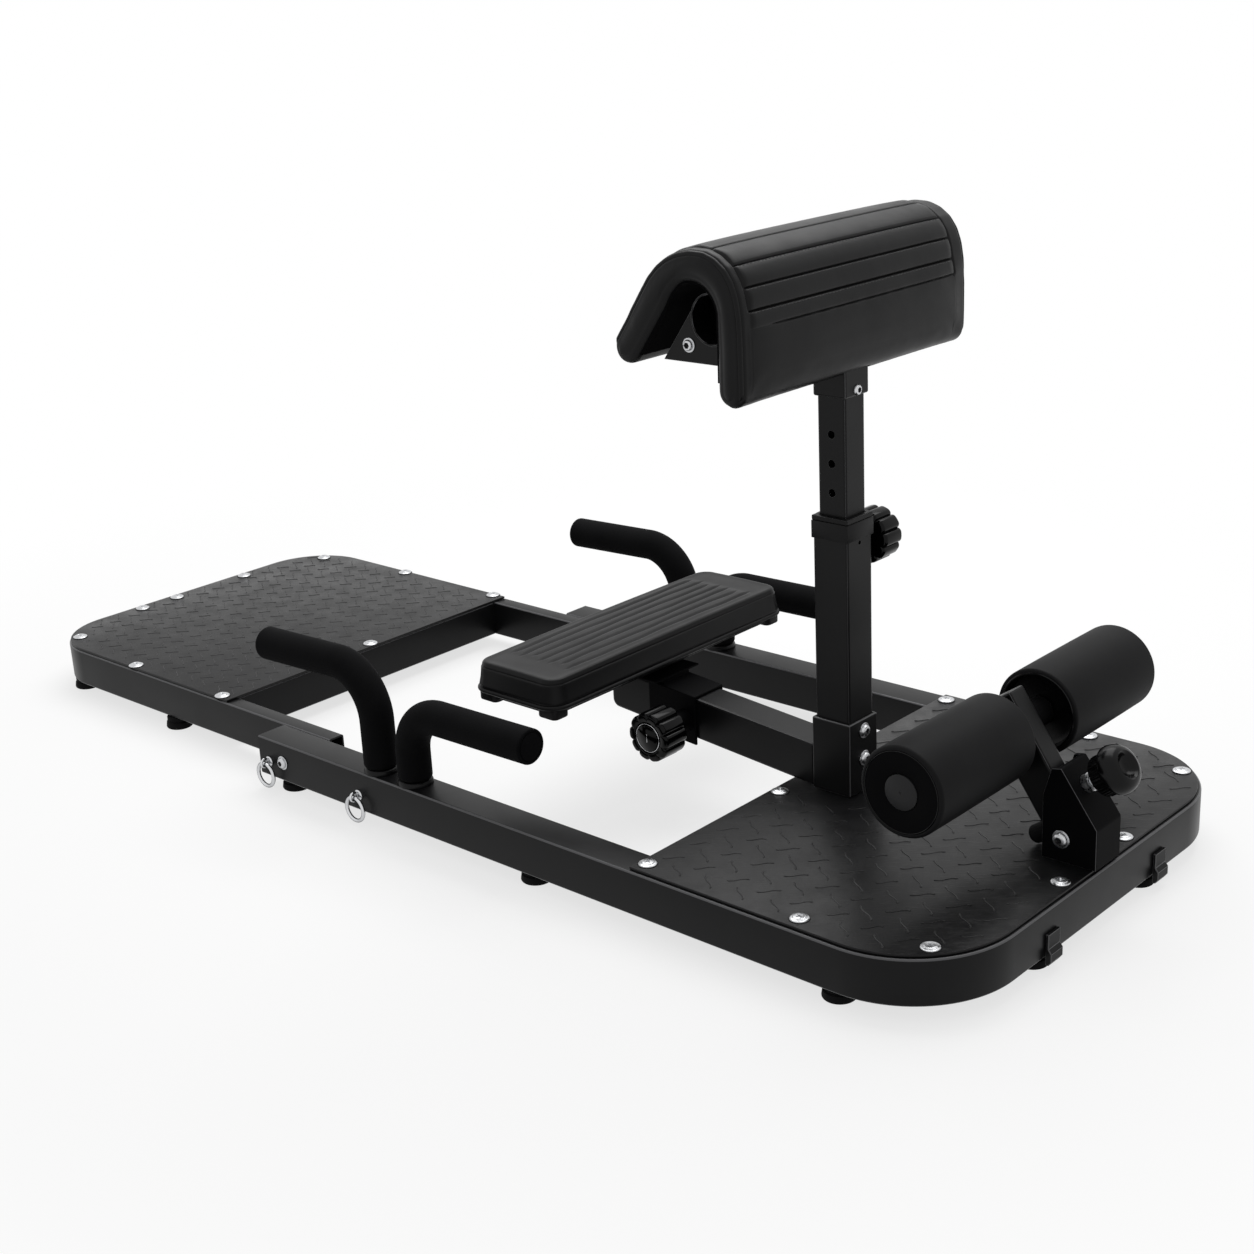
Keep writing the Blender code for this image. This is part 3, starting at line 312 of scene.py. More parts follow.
# The bevel bands of these parts take the pale corner coat as a painted edge highlight, and the saddle's take the
# near-black painted shade
EDGED_PARTS = ("post_socket", "outer_post", "inner_post", "centre_beam", "pad_mount", "end_plate_near", "end_plate_far",
               "seat_saddle", "swing_arm", "roller_bracket", "post_liner", "front_clip_near", "front_clip_far")
EDGE_BAND = 0.8 * MM
SHARP_EDGE = math.radians(35)
for name in EDGED_PARTS:
    node = frame["nodes"][name]
    node.data.materials.append(shade_dark_coat if name == "seat_saddle" else edge_highlight_coat)
    modify(node, "weld", "WELD", merge_threshold=0.01 * MM)
    modify(node, "softened_edges", "BEVEL", width=EDGE_BAND, material=1, segments=2, limit_method="ANGLE",
           angle_limit=SHARP_EDGE, harden_normals=True)


# Building
def mm(*points, out=0.0, at=0.0):
    """Profile points from millimetres, with radii counted from out and heights from at, both in metres."""
    return [(out + x * MM, at + y * MM) for x, y in points]


def arc(x, y, radius, start, end, steps):
    """Points of an arc with both ends, angles in degrees."""
    points = []
    for i in range(steps + 1):
        turn = math.radians(start + (end - start) * i / steps)
        points.append((x + radius * math.cos(turn), y + radius * math.sin(turn)))
    return points


def circle(radius, steps=32):
    turns = [2 * math.pi * i / steps for i in range(steps)]
    return [(radius * math.cos(turn), radius * math.sin(turn)) for turn in turns]


def rounded_rectangle(x0, y0, x1, y1, radius, steps):
    """A rectangle with rounded corners, counter-clockwise from its high corner."""
    x0, y0, x1, y1 = x0 + radius, y0 + radius, x1 - radius, y1 - radius
    corners = enumerate(((x1, y1), (x0, y1), (x0, y0), (x1, y0)))
    return [point for i, (x, y) in corners for point in arc(x, y, radius, 90 * i, 90 * i + 90, steps)]


def rounded_section(width, height, radius):
    """A tube's section about its middle."""
    return rounded_rectangle(-width / 2, -height / 2, width / 2, height / 2, radius, 5)


def bridge(bm, first, second):
    """Faces between two rings, or between a ring and a point."""
    count = max(len(first), len(second))
    for i in range(count):
        corners = [first[i % len(first)], first[(i + 1) % len(first)]]
        corners += [second[(i + 1) % len(second)], second[i % len(second)]]
        corners = list(dict.fromkeys(corners))
        if len(corners) > 2:
            bm.faces.new(corners)


def ring_stack(bm, rings, cap=True):
    for first, second in zip(rings, rings[1:]):
        bridge(bm, first, second)
    if cap:
        for end in (rings[0], rings[-1]):
            if len(end) > 2:
                bm.faces.new(end)


def faced(bm):
    """The mesh with its faces turned outwards."""
    bmesh.ops.recalc_face_normals(bm, faces=bm.faces)
    return bm


def turned(profile, steps=64, ripple=None, closed=False):
    """A profile of (radius, height) points turned round Z."""
    bm = bmesh.new()
    rings = []
    for radius, height in profile:
        if radius < 1e-6:
            rings.append([bm.verts.new((0, 0, height))])
            continue
        ring = []
        for i in range(steps):
            turn = 2 * math.pi * i / steps
            reach = radius + (ripple(turn, radius, height) if ripple else 0)
            ring.append(bm.verts.new((reach * math.cos(turn), reach * math.sin(turn), height)))
        rings.append(ring)
    ring_stack(bm, rings, cap=not closed)
    if closed:
        bridge(bm, rings[-1], rings[0])
    return faced(bm)


def stood(bm, place, axis=(0, 0, 1)):
    """Turns a mesh's own Z to an axis and moves it to its place."""
    turn = Vector((0, 0, 1)).rotation_difference(Vector(axis).normalized())
    bm.transform(Matrix.Translation(place) @ turn.to_matrix().to_4x4())
    return bm


def swept(line, section, side, hollow=None):
    """A closed section carried along a line in one plane; side is square to that plane."""
    bm = bmesh.new()
    side = Vector(side)
    outer, inner = [], []
    for i, point in enumerate(line):
        before = Vector(line[max(i - 1, 0)])
        after = Vector(line[min(i + 1, len(line) - 1)])
        across = side.cross((after - before).normalized())
        here = Vector(point)
        outer.append([bm.verts.new(here + side * a + across * b) for a, b in section])
        if hollow:
            inner.append([bm.verts.new(here + side * a + across * b) for a, b in hollow])
    ring_stack(bm, outer, cap=not hollow)
    if hollow:
        ring_stack(bm, inner, cap=False)
        bridge(bm, outer[0], inner[0])
        bridge(bm, outer[-1], inner[-1])
    return faced(bm)


def slab(outline, low, high, edge):
    """A flat plate with a softened rim; the outline runs counter-clockwise."""
    bm = bmesh.new()
    normals = []
    for i in range(len(outline)):
        ahead, behind = outline[(i + 1) % len(outline)], outline[i - 1]
        normals.append(Vector((ahead[1] - behind[1], behind[0] - ahead[0])).normalized())
    rings = []
    for height, sign, shares in ((low, 1, (1, 2 / 3, 1 / 3, 0)), (high, -1, (0, 1 / 3, 2 / 3, 1))):
        for share in shares:
            turn = share * math.pi / 2
            inset = edge * (1 - math.cos(turn))
            z = height + sign * edge * (1 - math.sin(turn))
            rings.append([bm.verts.new((x - n.x * inset, y - n.y * inset, z)) for (x, y), n in zip(outline, normals)])
    ring_stack(bm, rings)
    return faced(bm)


def block(low, high, edge):
    """A box with softened edges."""
    bm = bmesh.new()
    bmesh.ops.create_cube(bm, size=1.0)
    size = [h - l for l, h in zip(low, high)]
    middle = [(h + l) / 2 for l, h in zip(low, high)]
    bm.transform(Matrix.Translation(middle) @ Matrix.Diagonal((*size, 1)))
    bmesh.ops.bevel(bm, geom=list(bm.edges), offset=edge, segments=2, profile=0.5, affect="EDGES")
    return bm


def post_block(wall, low, high, edge):
    """A block round the post, thicker than it by a wall on each side."""
    reach = POST_HALF + wall
    return block((POST_X - reach, -reach, low), (POST_X + reach, reach, high), edge)


def settled(bm, name="part"):
    """The finished mesh."""
    mesh = bpy.data.meshes.new(name)
    bm.to_mesh(mesh)
    bm.free()
    return mesh


def shown(name, data):
    """An object with that mesh, light or camera, linked to the scene."""
    made = bpy.data.objects.new(name, data)
    bpy.context.scene.collection.objects.link(made)
    return made


def evaluated(holder):
    """The object as its modifiers leave it."""
    return holder.evaluated_get(bpy.context.evaluated_depsgraph_get())


def together(*parts):
    """One mesh from several."""
    whole = bmesh.new()
    for part in parts:
        shape = settled(part)
        whole.from_mesh(shape)
        bpy.data.meshes.remove(shape)
    return whole


def copies(bm, places, turns=None):
    """One mesh with a copy at each place."""
    shape = settled(bm)
    whole = bmesh.new()
    for i, place in enumerate(places):
        start = len(whole.verts)
        whole.from_mesh(shape)
        turn = Matrix.Rotation(turns[i] if turns else 0, 4, "Z")
        bmesh.ops.transform(whole, matrix=Matrix.Translation(place) @ turn, verts=list(whole.verts)[start:])
    bpy.data.meshes.remove(shape)
    return whole


def carved(target, cutter):
    """The target less the cutter."""
    holders = [shown("carving", settled(bm)) for bm in (target, cutter)]
    modify(holders[0], "bite", "BOOLEAN", operation="DIFFERENCE", solver="EXACT", use_self=True, object=holders[1])
    result = bmesh.new()
    result.from_mesh(evaluated(holders[0]).to_mesh())
    for holder in holders:
        mesh = holder.data
        bpy.data.objects.remove(holder)
        bpy.data.meshes.remove(mesh)
    return result


def piece(name, bm, material, body, stands_for=(), sharp=40):
    """A named object from a mesh, riding on a body."""
    mesh = settled(bm, name)
    mesh.transform(Matrix.Translation((DRAWING_X, 0, 0)))
    mesh.materials.append(material)
    mesh.shade_smooth()
    mesh.set_sharp_from_angle(angle=math.radians(sharp))
    made = shown(name, mesh)
    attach(made, body)
    if stands_for:
        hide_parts(*stands_for)
    return made


SIDES = (("near", -1), ("far", 1))


# Floor frames: bent tube, cross tube, textured deck and its screws
ROUNDED_NORMAL = (0.45, 0.92)


def round_ended(open_x, face_x, half, corner, inset, steps):
    """A line along one side, round both corners of the closed end and back along the other side."""
    way = 1 if face_x > open_x else -1
    x, y = face_x - way * corner, half - corner
    line = [(open_x, inset - half)]
    line += arc(x, -y, corner - inset, -90, -90 + 90 * way, steps)
    line += arc(x, y, corner - inset, -90 + 90 * way, -90 + 180 * way, steps)
    return line + [(open_x, half - inset)]


def floor_frame(end_x, face_x, half, corner, width, cross_x, cross_width):
    tall, middle = FRAME_HIGH - FRAME_LOW, (FRAME_LOW + FRAME_HIGH) / 2
    line = [(x, y, middle) for x, y in round_ended(end_x, face_x, half, corner, width / 2, 28)]
    hollow = rounded_section(tall - 2 * WALL, width - 2 * WALL, TUBE_ROUND - WALL / 2)
    tube = swept(line, rounded_section(tall, width, TUBE_ROUND), (0, 0, 1), hollow)
    cross_middle, reach = cross_x + cross_width / 2, half - width + WALL / 2
    line = [(cross_middle, -reach, middle), (cross_middle, reach, middle)]
    return together(tube, swept(line, rounded_section(tall - MM, cross_width, TUBE_ROUND), (0, 0, 1)))


FRONT_FRAME = (RAIL_END_X, FRONT_X, HALF_WIDTH, FRONT_CORNER, RAIL_WIDTH, CROSS_X, CROSS_WIDTH)
REAR_FRAME = (ARM_END_X, REAR_X, ARM_HALF_WIDTH, REAR_CORNER, ARM_WIDTH, REAR_CROSS_X, REAR_CROSS_WIDTH)
for name, body, sizes in (("front_frame", "fixed_frame", FRONT_FRAME), ("rear_frame", "rear_platform", REAR_FRAME)):
    tube = piece(name + "_tube", floor_frame(*sizes), powder_coat, body, [name])
    # Faces of the tubes' rounded edges take the pale corner coat: a painted highlight
    tube.data.materials.append(edge_highlight_coat)
    for face in tube.data.polygons:
        face.material_index = 1 if ROUNDED_NORMAL[0] < abs(face.normal.z) < ROUNDED_NORMAL[1] else 0

TREAD_PITCH = 0.0262
TREAD_MARKS = ((0.022, 42, 0.0007), (0.027, -38, 0.0009))
TREAD_HEIGHT = 0.0006
TREAD_RIM = 0.005
TREAD_BEND = 0.0011
TREAD_WANDER = 0.0014
TREAD_SEED = 4
REAR_TREAD = 0.74


def on_deck(x, y, edge_x, face_x, half, corner, margin):
    """True where a point lies on the deck and clear of its rim."""
    low, high = sorted((edge_x, face_x))
    if not (low + margin < x < high - margin and abs(y) < half - margin):
        return False
    way = 1 if face_x > edge_x else -1
    over_x = way * (x - (face_x - way * corner))
    over_y = abs(y) - (half - corner)
    return not (over_x > 0 and over_y > 0 and math.hypot(over_x, over_y) > corner - margin)


def tread_mark(bm, x, y, turn, length, half_width, scale):
    """One raised dash, bent like a flat S, with a rounder lump at each end."""
    stations = 12
    turn_cos, turn_sin = math.cos(turn), math.sin(turn)
    levels = []
    for i in range(stations + 1):
        share = 2 * i / stations - 1
        a = share * length / 2
        bend = TREAD_BEND * scale * math.sin(math.pi * share)
        lump = math.exp(-((abs(share) - 0.86) / 0.11) ** 2)
        half = half_width * (0.75 + 0.9 * lump) * (1 - max(0, abs(share) - 0.9) * 6)
        top = TREAD_HEIGHT * scale * (0.7 + 0.3 * lump)
        level = []
        for across, height in ((-1, -0.25), (-0.62, 0.7), (0, 1), (0.62, 0.7), (1, -0.25)):
            b = bend + across * half
            place = (x + a * turn_cos - b * turn_sin, y + a * turn_sin + b * turn_cos, DECK_HIGH + top * height)
            level.append(bm.verts.new(place))
        levels.append(level)
    ring_stack(bm, levels)


def tread_marks(shape, keep_clear, scale):
    """Marks in two directions, one and the other in turn on a slanted grid, as on chequered sheet."""
    bm = bmesh.new()
    wander = random.Random(TREAD_SEED)
    pitch = TREAD_PITCH * scale
    span = int(0.6 / pitch)
    for i, j in [(i, j) for i in range(-span, span) for j in range(-span, span)]:
        x = (i - j) * pitch * math.sqrt(0.5) + (shape[0] + shape[1]) / 2 + wander.uniform(-TREAD_WANDER, TREAD_WANDER)
        y = (i + j) * pitch * math.sqrt(0.5) + wander.uniform(-TREAD_WANDER, TREAD_WANDER)
        length, degrees, half_width = TREAD_MARKS[(i + j) % 2]
        turn = math.radians(degrees + wander.uniform(-4, 4))
        length *= scale * wander.uniform(0.88, 1.06)
        ends = [(x + e * length * math.cos(turn), y + e * length * math.sin(turn)) for e in (-0.5, 0.5)]
        if not all(on_deck(*end, *shape, TREAD_RIM) for end in ends):
            continue
        if any(math.hypot(px - cx, py - cy) < radius for cx, cy, radius in keep_clear for px, py in ends + [(x, y)]):
            continue
        tread_mark(bm, x, y, turn, length, half_width * scale, scale)
    return faced(bm)


SCREW_R = 0.0088
SCREW_HEAD = 0.0024
SCREW_SEAT = 0.0005
PLATE_EDGE = 0.0006
MARK_CLEARANCE = 0.002
SCREW_SEED = 11
FRONT_SCREWS = ((0.3625, 0.2475), (0.537, 0.2475), (0.654, 0.222), (0.680, 0.0565), (0.3625, 0.050))
FRONT_SCREWS = [(x, side * y) for x, y in FRONT_SCREWS for side in (-1, 1)]
REAR_SCREWS = [(x, side * y) for x, y in ((-0.498, 0.219), (-0.324, 0.219), (-0.650, 0.200)) for side in (-1, 1)]
REAR_SCREWS += [(-0.680, -0.085), (-0.680, -0.030), (-0.680, 0.082), (-0.316, 0.0)]


def screw_head():
    """A wide flat head with a thin rolled rim, a step and a shallow cross recess."""
    profile = mm((0, 0), (5.2, 0), (5.8, -0.3), (6.1, -0.9), (6.6, -1.1), (7.6, -1.2), at=SCREW_HEAD)
    profile += mm((-0.3, 0.8), (0, 0.4), (0, -0.5), out=SCREW_R) + mm((0, -0.5))
    return carved(turned(profile, 40), cross_recess())


def cross_recess():
    """The screwdriver's cross, tapering downwards, used as a cutter."""
    long, wide, top, deep = 0.0036, 0.0008, SCREW_HEAD + 0.001, SCREW_HEAD - 0.0013
    bm = bmesh.new()
    for x, y in ((long, wide), (wide, long)):
        levels = []
        for z, share in ((deep, 0.55), (top, 1.15)):
            corners = ((-x, -y), (x, -y), (x, y), (-x, y))
            levels.append([bm.verts.new((a * share, b * share, z)) for a, b in corners])
        ring_stack(bm, levels)
    return faced(bm)


def deck(name, node, body, shape, screws, keep_clear, scale):
    """The plate with its tread marks, its screws and their black washers, painted contact shadow round the heads; the
    shape is edge, face, half width and corner.
    """
    outline = round_ended(*shape, 0, 32)
    plate = slab(outline if shape[1] > shape[0] else outline[::-1], DECK_LOW, DECK_HIGH, PLATE_EDGE)
    keep_clear = [(x, y, SCREW_R + MARK_CLEARANCE) for x, y in screws] + keep_clear
    piece(name, together(plate, tread_marks(shape, keep_clear, scale)), deck_plate, body, [node], 30)
    wander = random.Random(SCREW_SEED)
    turns = [wander.uniform(0, math.pi) for _ in screws]
    heads = copies(screw_head(), [(x, y, DECK_HIGH + SCREW_SEAT) for x, y in screws], turns)
    piece(name + "_screws", heads, zinc, body, sharp=30)
    # Black washers under the heads: painted contact shadow
    ring = turned(mm((0, 0.4)) + mm((0.6, 0.4), (0.9, 0), out=SCREW_R) + mm((0, -0.2)), 40)
    rings = copies(ring, [(x, y, DECK_HIGH) for x, y in screws])
    piece(name + "_screw_shade_washers", rings, shade_black, body)


# Round spots that the marks keep clear of, as x, y and radius
POST_AND_BRACKET = [(POST_X, 0, 0.034), (0.668, 0, 0.034)]
front = (CROSS_X, FRONT_X - DECK_INSET, HALF_WIDTH - DECK_INSET, FRONT_CORNER - DECK_INSET)
deck("front_deck_plate", "front_deck", "fixed_frame", front, FRONT_SCREWS, POST_AND_BRACKET, 1.0)
rear = (REAR_DECK_X, REAR_X + DECK_INSET, ARM_HALF_WIDTH - DECK_INSET / 2, REAR_CORNER - DECK_INSET)
deck("rear_deck_plate", "rear_deck", "rear_platform", rear, REAR_SCREWS, [], REAR_TREAD)


# Feet
FOOT_R = 0.014
FOOT_HIGH = 0.0147
FOOT_LIP = 0.0026
FEET = {
    "front_foot": ("fixed_frame", 0.676, 0.096),
    "rail_foot_front": ("fixed_frame", 0.577, 0.245),
    "rail_foot_middle": ("fixed_frame", 0.211, 0.245),
    "rail_foot_rear": ("fixed_frame", -0.163, 0.245),
    "rear_foot_inner": ("rear_platform", -0.425, ARM_HALF_WIDTH - 0.0107),
    "rear_foot_end": ("rear_platform", -0.640, ARM_HALF_WIDTH - 0.0217),
}


def foot():
    profile = [(0, FOOT_HIGH)] + mm((-0.8, 0), (0, -0.8), out=FOOT_R, at=FOOT_HIGH)
    profile += mm((0, 10.5), (-0.8, 10), (-0.8, 9), (1, 7.8), (1.8, 2.6), out=FOOT_R)
    profile += arc(FOOT_R - 0.8 * MM, FOOT_LIP, FOOT_LIP, 0, -90, 5)[1:] + mm((5, 0), (4.5, 1.2), (0, 1.2))
    return turned(profile, 48)


for name, (body, x, y) in FEET.items():
    for word, side in SIDES:
        node = name + "_" + word
        piece(node + "_rubber", stood(foot(), (x, side * y, 0)), rubber, body, [node])


# Bolts with a hexagon socket: radius and height of the head, radius of the socket, radius and thickness of the washer,
# and the height of the socket's floor
POST_BOLT = (0.0062, 0.0034, 0.0032, 0.0078, 0.0012, 0.0024)
COLLAR_BOLT = (0.0052, 0.0028, 0.0028, 0.0, 0.0, 0.0011)
END_PLATE_BOLT = (0.0052, 0.0028, 0.0030, 0.0066, 0.0012, 0.0022)
LAP_BOLT = (0.0062, 0.0034, 0.0032, 0.0078, 0.0010, 0.0022)
PIVOT_BOLT = (0.0074, 0.0046, 0.0039, 0.0086, 0.0012, 0.0028)
POST_BOLT_PLACES = {"socket_bolt_128": (POST_X + 0.023, 0, 0.128), "socket_bolt_99": (POST_X + 0.023, 0, 0.099)}
COLLAR_BOLT_PLACE = (POST_X + 0.0186, 0, 0.4655)
END_PLATE_BOLT_PLACE = (POST_X - 0.046, 0.1586, 0.529)
LAP_BOLT_PLACE = (-0.157, HALF_WIDTH + 0.0002, 0.0375)
PIVOT_REACH = 0.0222


def bolt_head(radius, height, socket_r, washer_r, washer):
    """A button head with a hexagon socket, on a washer when it has one; it stands on Z = 0."""
    top = washer + height
    profile = [(0, top), (radius * 0.52, top), (radius * 0.80, washer + height * 0.80)]
    profile += [(radius * 0.96, washer + height * 0.42), (radius, washer + 0.0002)]
    profile += [(radius, washer - 0.0006), (0, washer - 0.0006)]
    socket = [(0, top + 0.002), (socket_r, top + 0.002), (socket_r, washer + height * 0.25), (0, washer + height * 0.2)]
    head = carved(turned(profile, 48), turned(socket, 6))
    if not washer_r:
        return head
    ring = [(0, washer)] + mm((-0.3, 0), (0, -0.3), out=washer_r, at=washer)
    ring += mm((0, 0.3), (-0.3, 0), out=washer_r) + [(0, 0)]
    return together(head, turned(ring, 48))


def socket_floor(name, sizes, place, axis, body):
    """A dark disc on the floor of a hexagon socket: painted shade."""
    radius, floor = sizes[2] - 0.0001, sizes[-1]
    plate = turned([(0, floor), (radius, floor), (radius, floor - 0.0006), (0, floor - 0.0006)], 6)
    piece(name + "_socket", stood(plate, place, axis), shade_black, body)


def bolt(name, sizes, place, axis, body, stands_for=()):
    piece(name, stood(bolt_head(*sizes[:-1]), place, axis), zinc, body, stands_for, 30)
    socket_floor(name, sizes, place, axis, body)


for name, place in POST_BOLT_PLACES.items():
    bolt(name, POST_BOLT, place, (1, 0, 0), "fixed_frame")
bolt("collar_bolt", COLLAR_BOLT, COLLAR_BOLT_PLACE, (1, 0, 0), "hip_pad_post")
for word, side in SIDES:
    x, y, z = END_PLATE_BOLT_PLACE
    bolt("end_plate_bolt_" + word, END_PLATE_BOLT, (x, side * y, z), (0, side, 0), "hip_pad_post")
    x, y, z = LAP_BOLT_PLACE
    bolt("lap_bolt_head_" + word, LAP_BOLT, (x, side * y, z), (0, side, 0), "fixed_frame", ["lap_bolt_" + word])
place = (PIVOT[0], -PIVOT_REACH, PIVOT[1])
head = stood(bolt_head(*PIVOT_BOLT[:-1]), place, (0, -1, 0))
socket_floor("pivot_bolt", PIVOT_BOLT, place, (0, -1, 0), "fixed_frame")
nut = stood(turned(mm((0, 6), (7.8, 6), (8.5, 5.4), (8.5, 0)), 6), (PIVOT[0], PIVOT_REACH, PIVOT[1]), (0, 1, 0))
piece("pivot_bolt_ends", together(head, nut), zinc, "fixed_frame", ["pivot_bolt"], 30)

# Skirt of the moulded liner, outside the mouth of the post
SKIRT_LOW, SKIRT_HIGH = 0.3228, 0.3401
SKIRT_INSIDE, SKIRT_OUTSIDE = 0.0001, 0.0011
skirt = post_block(SKIRT_OUTSIDE, SKIRT_LOW, SKIRT_HIGH, 0.0005)
skirt = carved(skirt, post_block(SKIRT_INSIDE, 0.31, 0.35, 0.0002))
piece("post_liner_skirt", skirt, abs_plastic, "fixed_frame", sharp=30)

# Eyes and rings
EYE_Z = 0.0335
EYE_R = 0.0045
EYE_WIRE = 0.0015
RING_R = 0.0131
RING_WIRE = 0.0021
EYE_Y = HALF_WIDTH + GAP + 0.0015 + EYE_R + EYE_WIRE * 0.4
RING_Z = EYE_Z - EYE_R + EYE_WIRE + RING_WIRE + GAP - RING_R


def loop(radius, wire, place, axis):
    return stood(turned([(radius + x, y) for x, y in circle(wire, 14)], 48, closed=True), place, axis)


for place, x in (("rear", -0.181), ("front", -0.030)):
    for word, side in SIDES:
        tag = place + "_" + word
        washer = turned(mm((0, 2.1), (4.6, 2.1), (5.8, 1.4), (6, 0.9), (6, 0), (0, 0)), 32)
        washer = stood(washer, (x, side * (HALF_WIDTH + GAP), EYE_Z), (0, side, 0))
        eye = loop(EYE_R, EYE_WIRE, (x, side * EYE_Y, EYE_Z), (1, 0, 0))
        piece("eye_bolt_" + tag, together(washer, eye), chrome, "fixed_frame", ["eye_" + tag])
        ring = loop(RING_R, RING_WIRE, (x, side * EYE_Y, RING_Z), (0, 1, 0))
        piece("pull_ring_" + tag, ring, chrome, "ring_%s_body" % tag, ["ring_" + tag])


# Handles: welded collar, bare tube and a foam grip.  Each has its root's x, its bend's height and radius, and its tip's
# height and x
REAR_HANDLE = (-0.0115, 0.116, 0.054, 0.166, -0.185)
FRONT_HANDLE = (0.042, 0.0965, 0.0445, 0.143, 0.217)
HANDLES = [
    (place + "_" + word, spec, side * HANDLE_Y)
    for place, spec in (("rear", REAR_HANDLE), ("front", FRONT_HANDLE)) for word, side in SIDES
]
HANDLE_TUBE_R = 0.0125
HANDLE_STEP = 0.004
GRIP_START = 0.0670
# Way in from the end, and share of the full radius: a rounded lip at the root, a pressed-in end with a rim at the tip
GRIP_ROOT = ((0.0, 0.74), (0.0, 0.93), (0.0006, 0.975), (0.0016, 1.0))
GRIP_TIP = ((0.0022, 1.0), (0.0012, 0.985), (0.0006, 0.955), (0.0004, 0.92), (0.0004, 0.86), (0.0013, 0.835),
            (0.0013, 0.79), (0.0004, 0.765), (0.0001, 0.60), (0.0, 0.3), (0.0, 0.05))


def handle_line(spec, start, y):
    """Up from the rail, round the bend and out to the tip."""
    root_x, bend_z, bend_r, top_z, tip_x = spec
    way = 1 if tip_x > root_x else -1
    rise = max(2, int((bend_z - start) / HANDLE_STEP))
    line = [(root_x, start + (bend_z - start) * i / rise) for i in range(rise)]
    for turn in range(0, 89, 4):
        angle = math.radians(turn)
        line.append((root_x + way * bend_r * (1 - math.cos(angle)), bend_z + bend_r * math.sin(angle)))
    last_x, last_z = line[-1]
    run = int(abs(tip_x - last_x) / HANDLE_STEP)
    line += [(last_x + (tip_x - last_x) * i / run, last_z + (top_z - last_z) * i / run) for i in range(1, run + 1)]
    return [(x, y, z) for x, z in line]


def foam_sleeve(spec, y):
    """The sleeve's skin as rings along the handle, with its ends closed."""
    line = [Vector(point) for point in handle_line(spec, GRIP_START, y)]
    first, last = (line[1] - line[0]).normalized(), (line[-1] - line[-2]).normalized()
    root = [(line[0] + first * reach, size) for reach, size in GRIP_ROOT]
    tip = [(line[-1] - last * reach, size) for reach, size in GRIP_TIP]
    bm = bmesh.new()
    rings = []
    for here, size in root + [(point, 1.0) for point in line[1:-1]] + tip:
        nearest = min(range(len(line)), key=lambda i: (line[i] - here).length)
        along = line[min(nearest + 1, len(line) - 1)] - line[max(nearest - 1, 0)]
        side = Vector((0, 1, 0))
        across = side.cross(along.normalized())
        rings.append([bm.verts.new(here + (side * a + across * b) * size) for a, b in circle(GRIP_R, 40)])
    ring_stack(bm, rings)
    return faced(bm)


for tag, spec, y in HANDLES:
    collar = turned(mm((0, 5.5), (15, 5.5), (16.8, 4.8), (18.1, 3.4), (18.5, 1.8), (18.5, 0), (0, 0)), 48)
    collar = stood(collar, (spec[0], y, FRAME_HIGH + GAP))
    bar = swept(handle_line(spec, FRAME_HIGH + 0.002, y)[:-2], circle(HANDLE_TUBE_R), (0, 1, 0))
    piece("handle_bar_" + tag, together(collar, bar), powder_coat, "fixed_frame", ["handle_tube_" + tag])
for tag, spec, y in HANDLES:
    sleeve = foam_sleeve(spec, y)
    grip = piece("foam_grip_" + tag, sleeve, foam, "fixed_frame", ["handle_grip_" + tag])


# Knobs
KNOB_LOBES = 10
KNOB_EDGE = 0.0034
KNOB_FLUTE = 0.0036
KNOB_R = 0.0265
KNOBS = (
    ("post_knob", 0.0335, 0.0635, (POST_X, 0.312), 1, "post_lock_knob"),
    ("seat_knob", 0.048, 0.083, (0.217, 0.0955), -1, "seat_lock_knob"),
)


def star_knob(length):
    """Grip with ten rounded lobes parted by narrow flutes, and a sunk face; it stands on Z = 0."""
    def lobes(turn, r, z):
        share = max(0.0, min(1.0, (r - 0.62 * KNOB_R) / (0.3 * KNOB_R)))
        return -KNOB_FLUTE * share * (1 - abs(math.cos(KNOB_LOBES * turn / 2))) ** 2.4

    middle = KNOB_R - KNOB_EDGE
    profile = [(0.0056, 0.0), (middle - 0.003, 0.0), (middle - 0.001, 0.0004)]
    profile += arc(middle, KNOB_EDGE + 0.0004, KNOB_EDGE, -80, 0, 5)
    profile += arc(middle, length - KNOB_EDGE, KNOB_EDGE, 0, 86, 6)
    profile += mm((17.8, 0.2), (17.2, -0.2), (16.8, -1.2), (0, -1.2), at=length)
    return turned(profile, 240, lobes)


for name, low, high, (x, z), side, body in KNOBS:
    place, axis = (x, side * low, z), (0, side, 0)
    length = high - low - 0.0015
    shell = stood(star_knob(length), place, axis)
    cap = stood(turned(mm((0, 1.2), (13.4, 1.2), (13.8, 0.8), (13.8, -1.4), (0, -1.4), at=length), 56), place, axis)
    piece(name + "_grip", together(shell, cap), knob_plastic, body, [name], 50)
    mark = block((-0.0003, -0.0045, length + 0.0010), (0.0003, 0.0045, length + 0.0013), 0.0001)
    ring = stood(together(loop(0.0152, 0.0004, (0, 0, length - 0.0003), (0, 0, 1)), mark), place, axis)
    piece(name + "_ring", ring, chrome, body)

# The arm's knob stands on the bracket's slanted plate, 40 mm up from its fold
BRACKET_FOLD, BRACKET_TOP = Vector((0.695, 0, 0.103)), Vector((0.658, 0, 0.154))
slant = (BRACKET_TOP - BRACKET_FOLD).normalized()
out = Vector((slant.z, 0, -slant.x))
plate_point = BRACKET_FOLD + slant * 0.040
ARM_KNOB_LOW, ARM_KNOB_HIGH = 0.0175, 0.049
ARM_KNOB_RIBS, RIB_DEPTH = 36, 0.0007


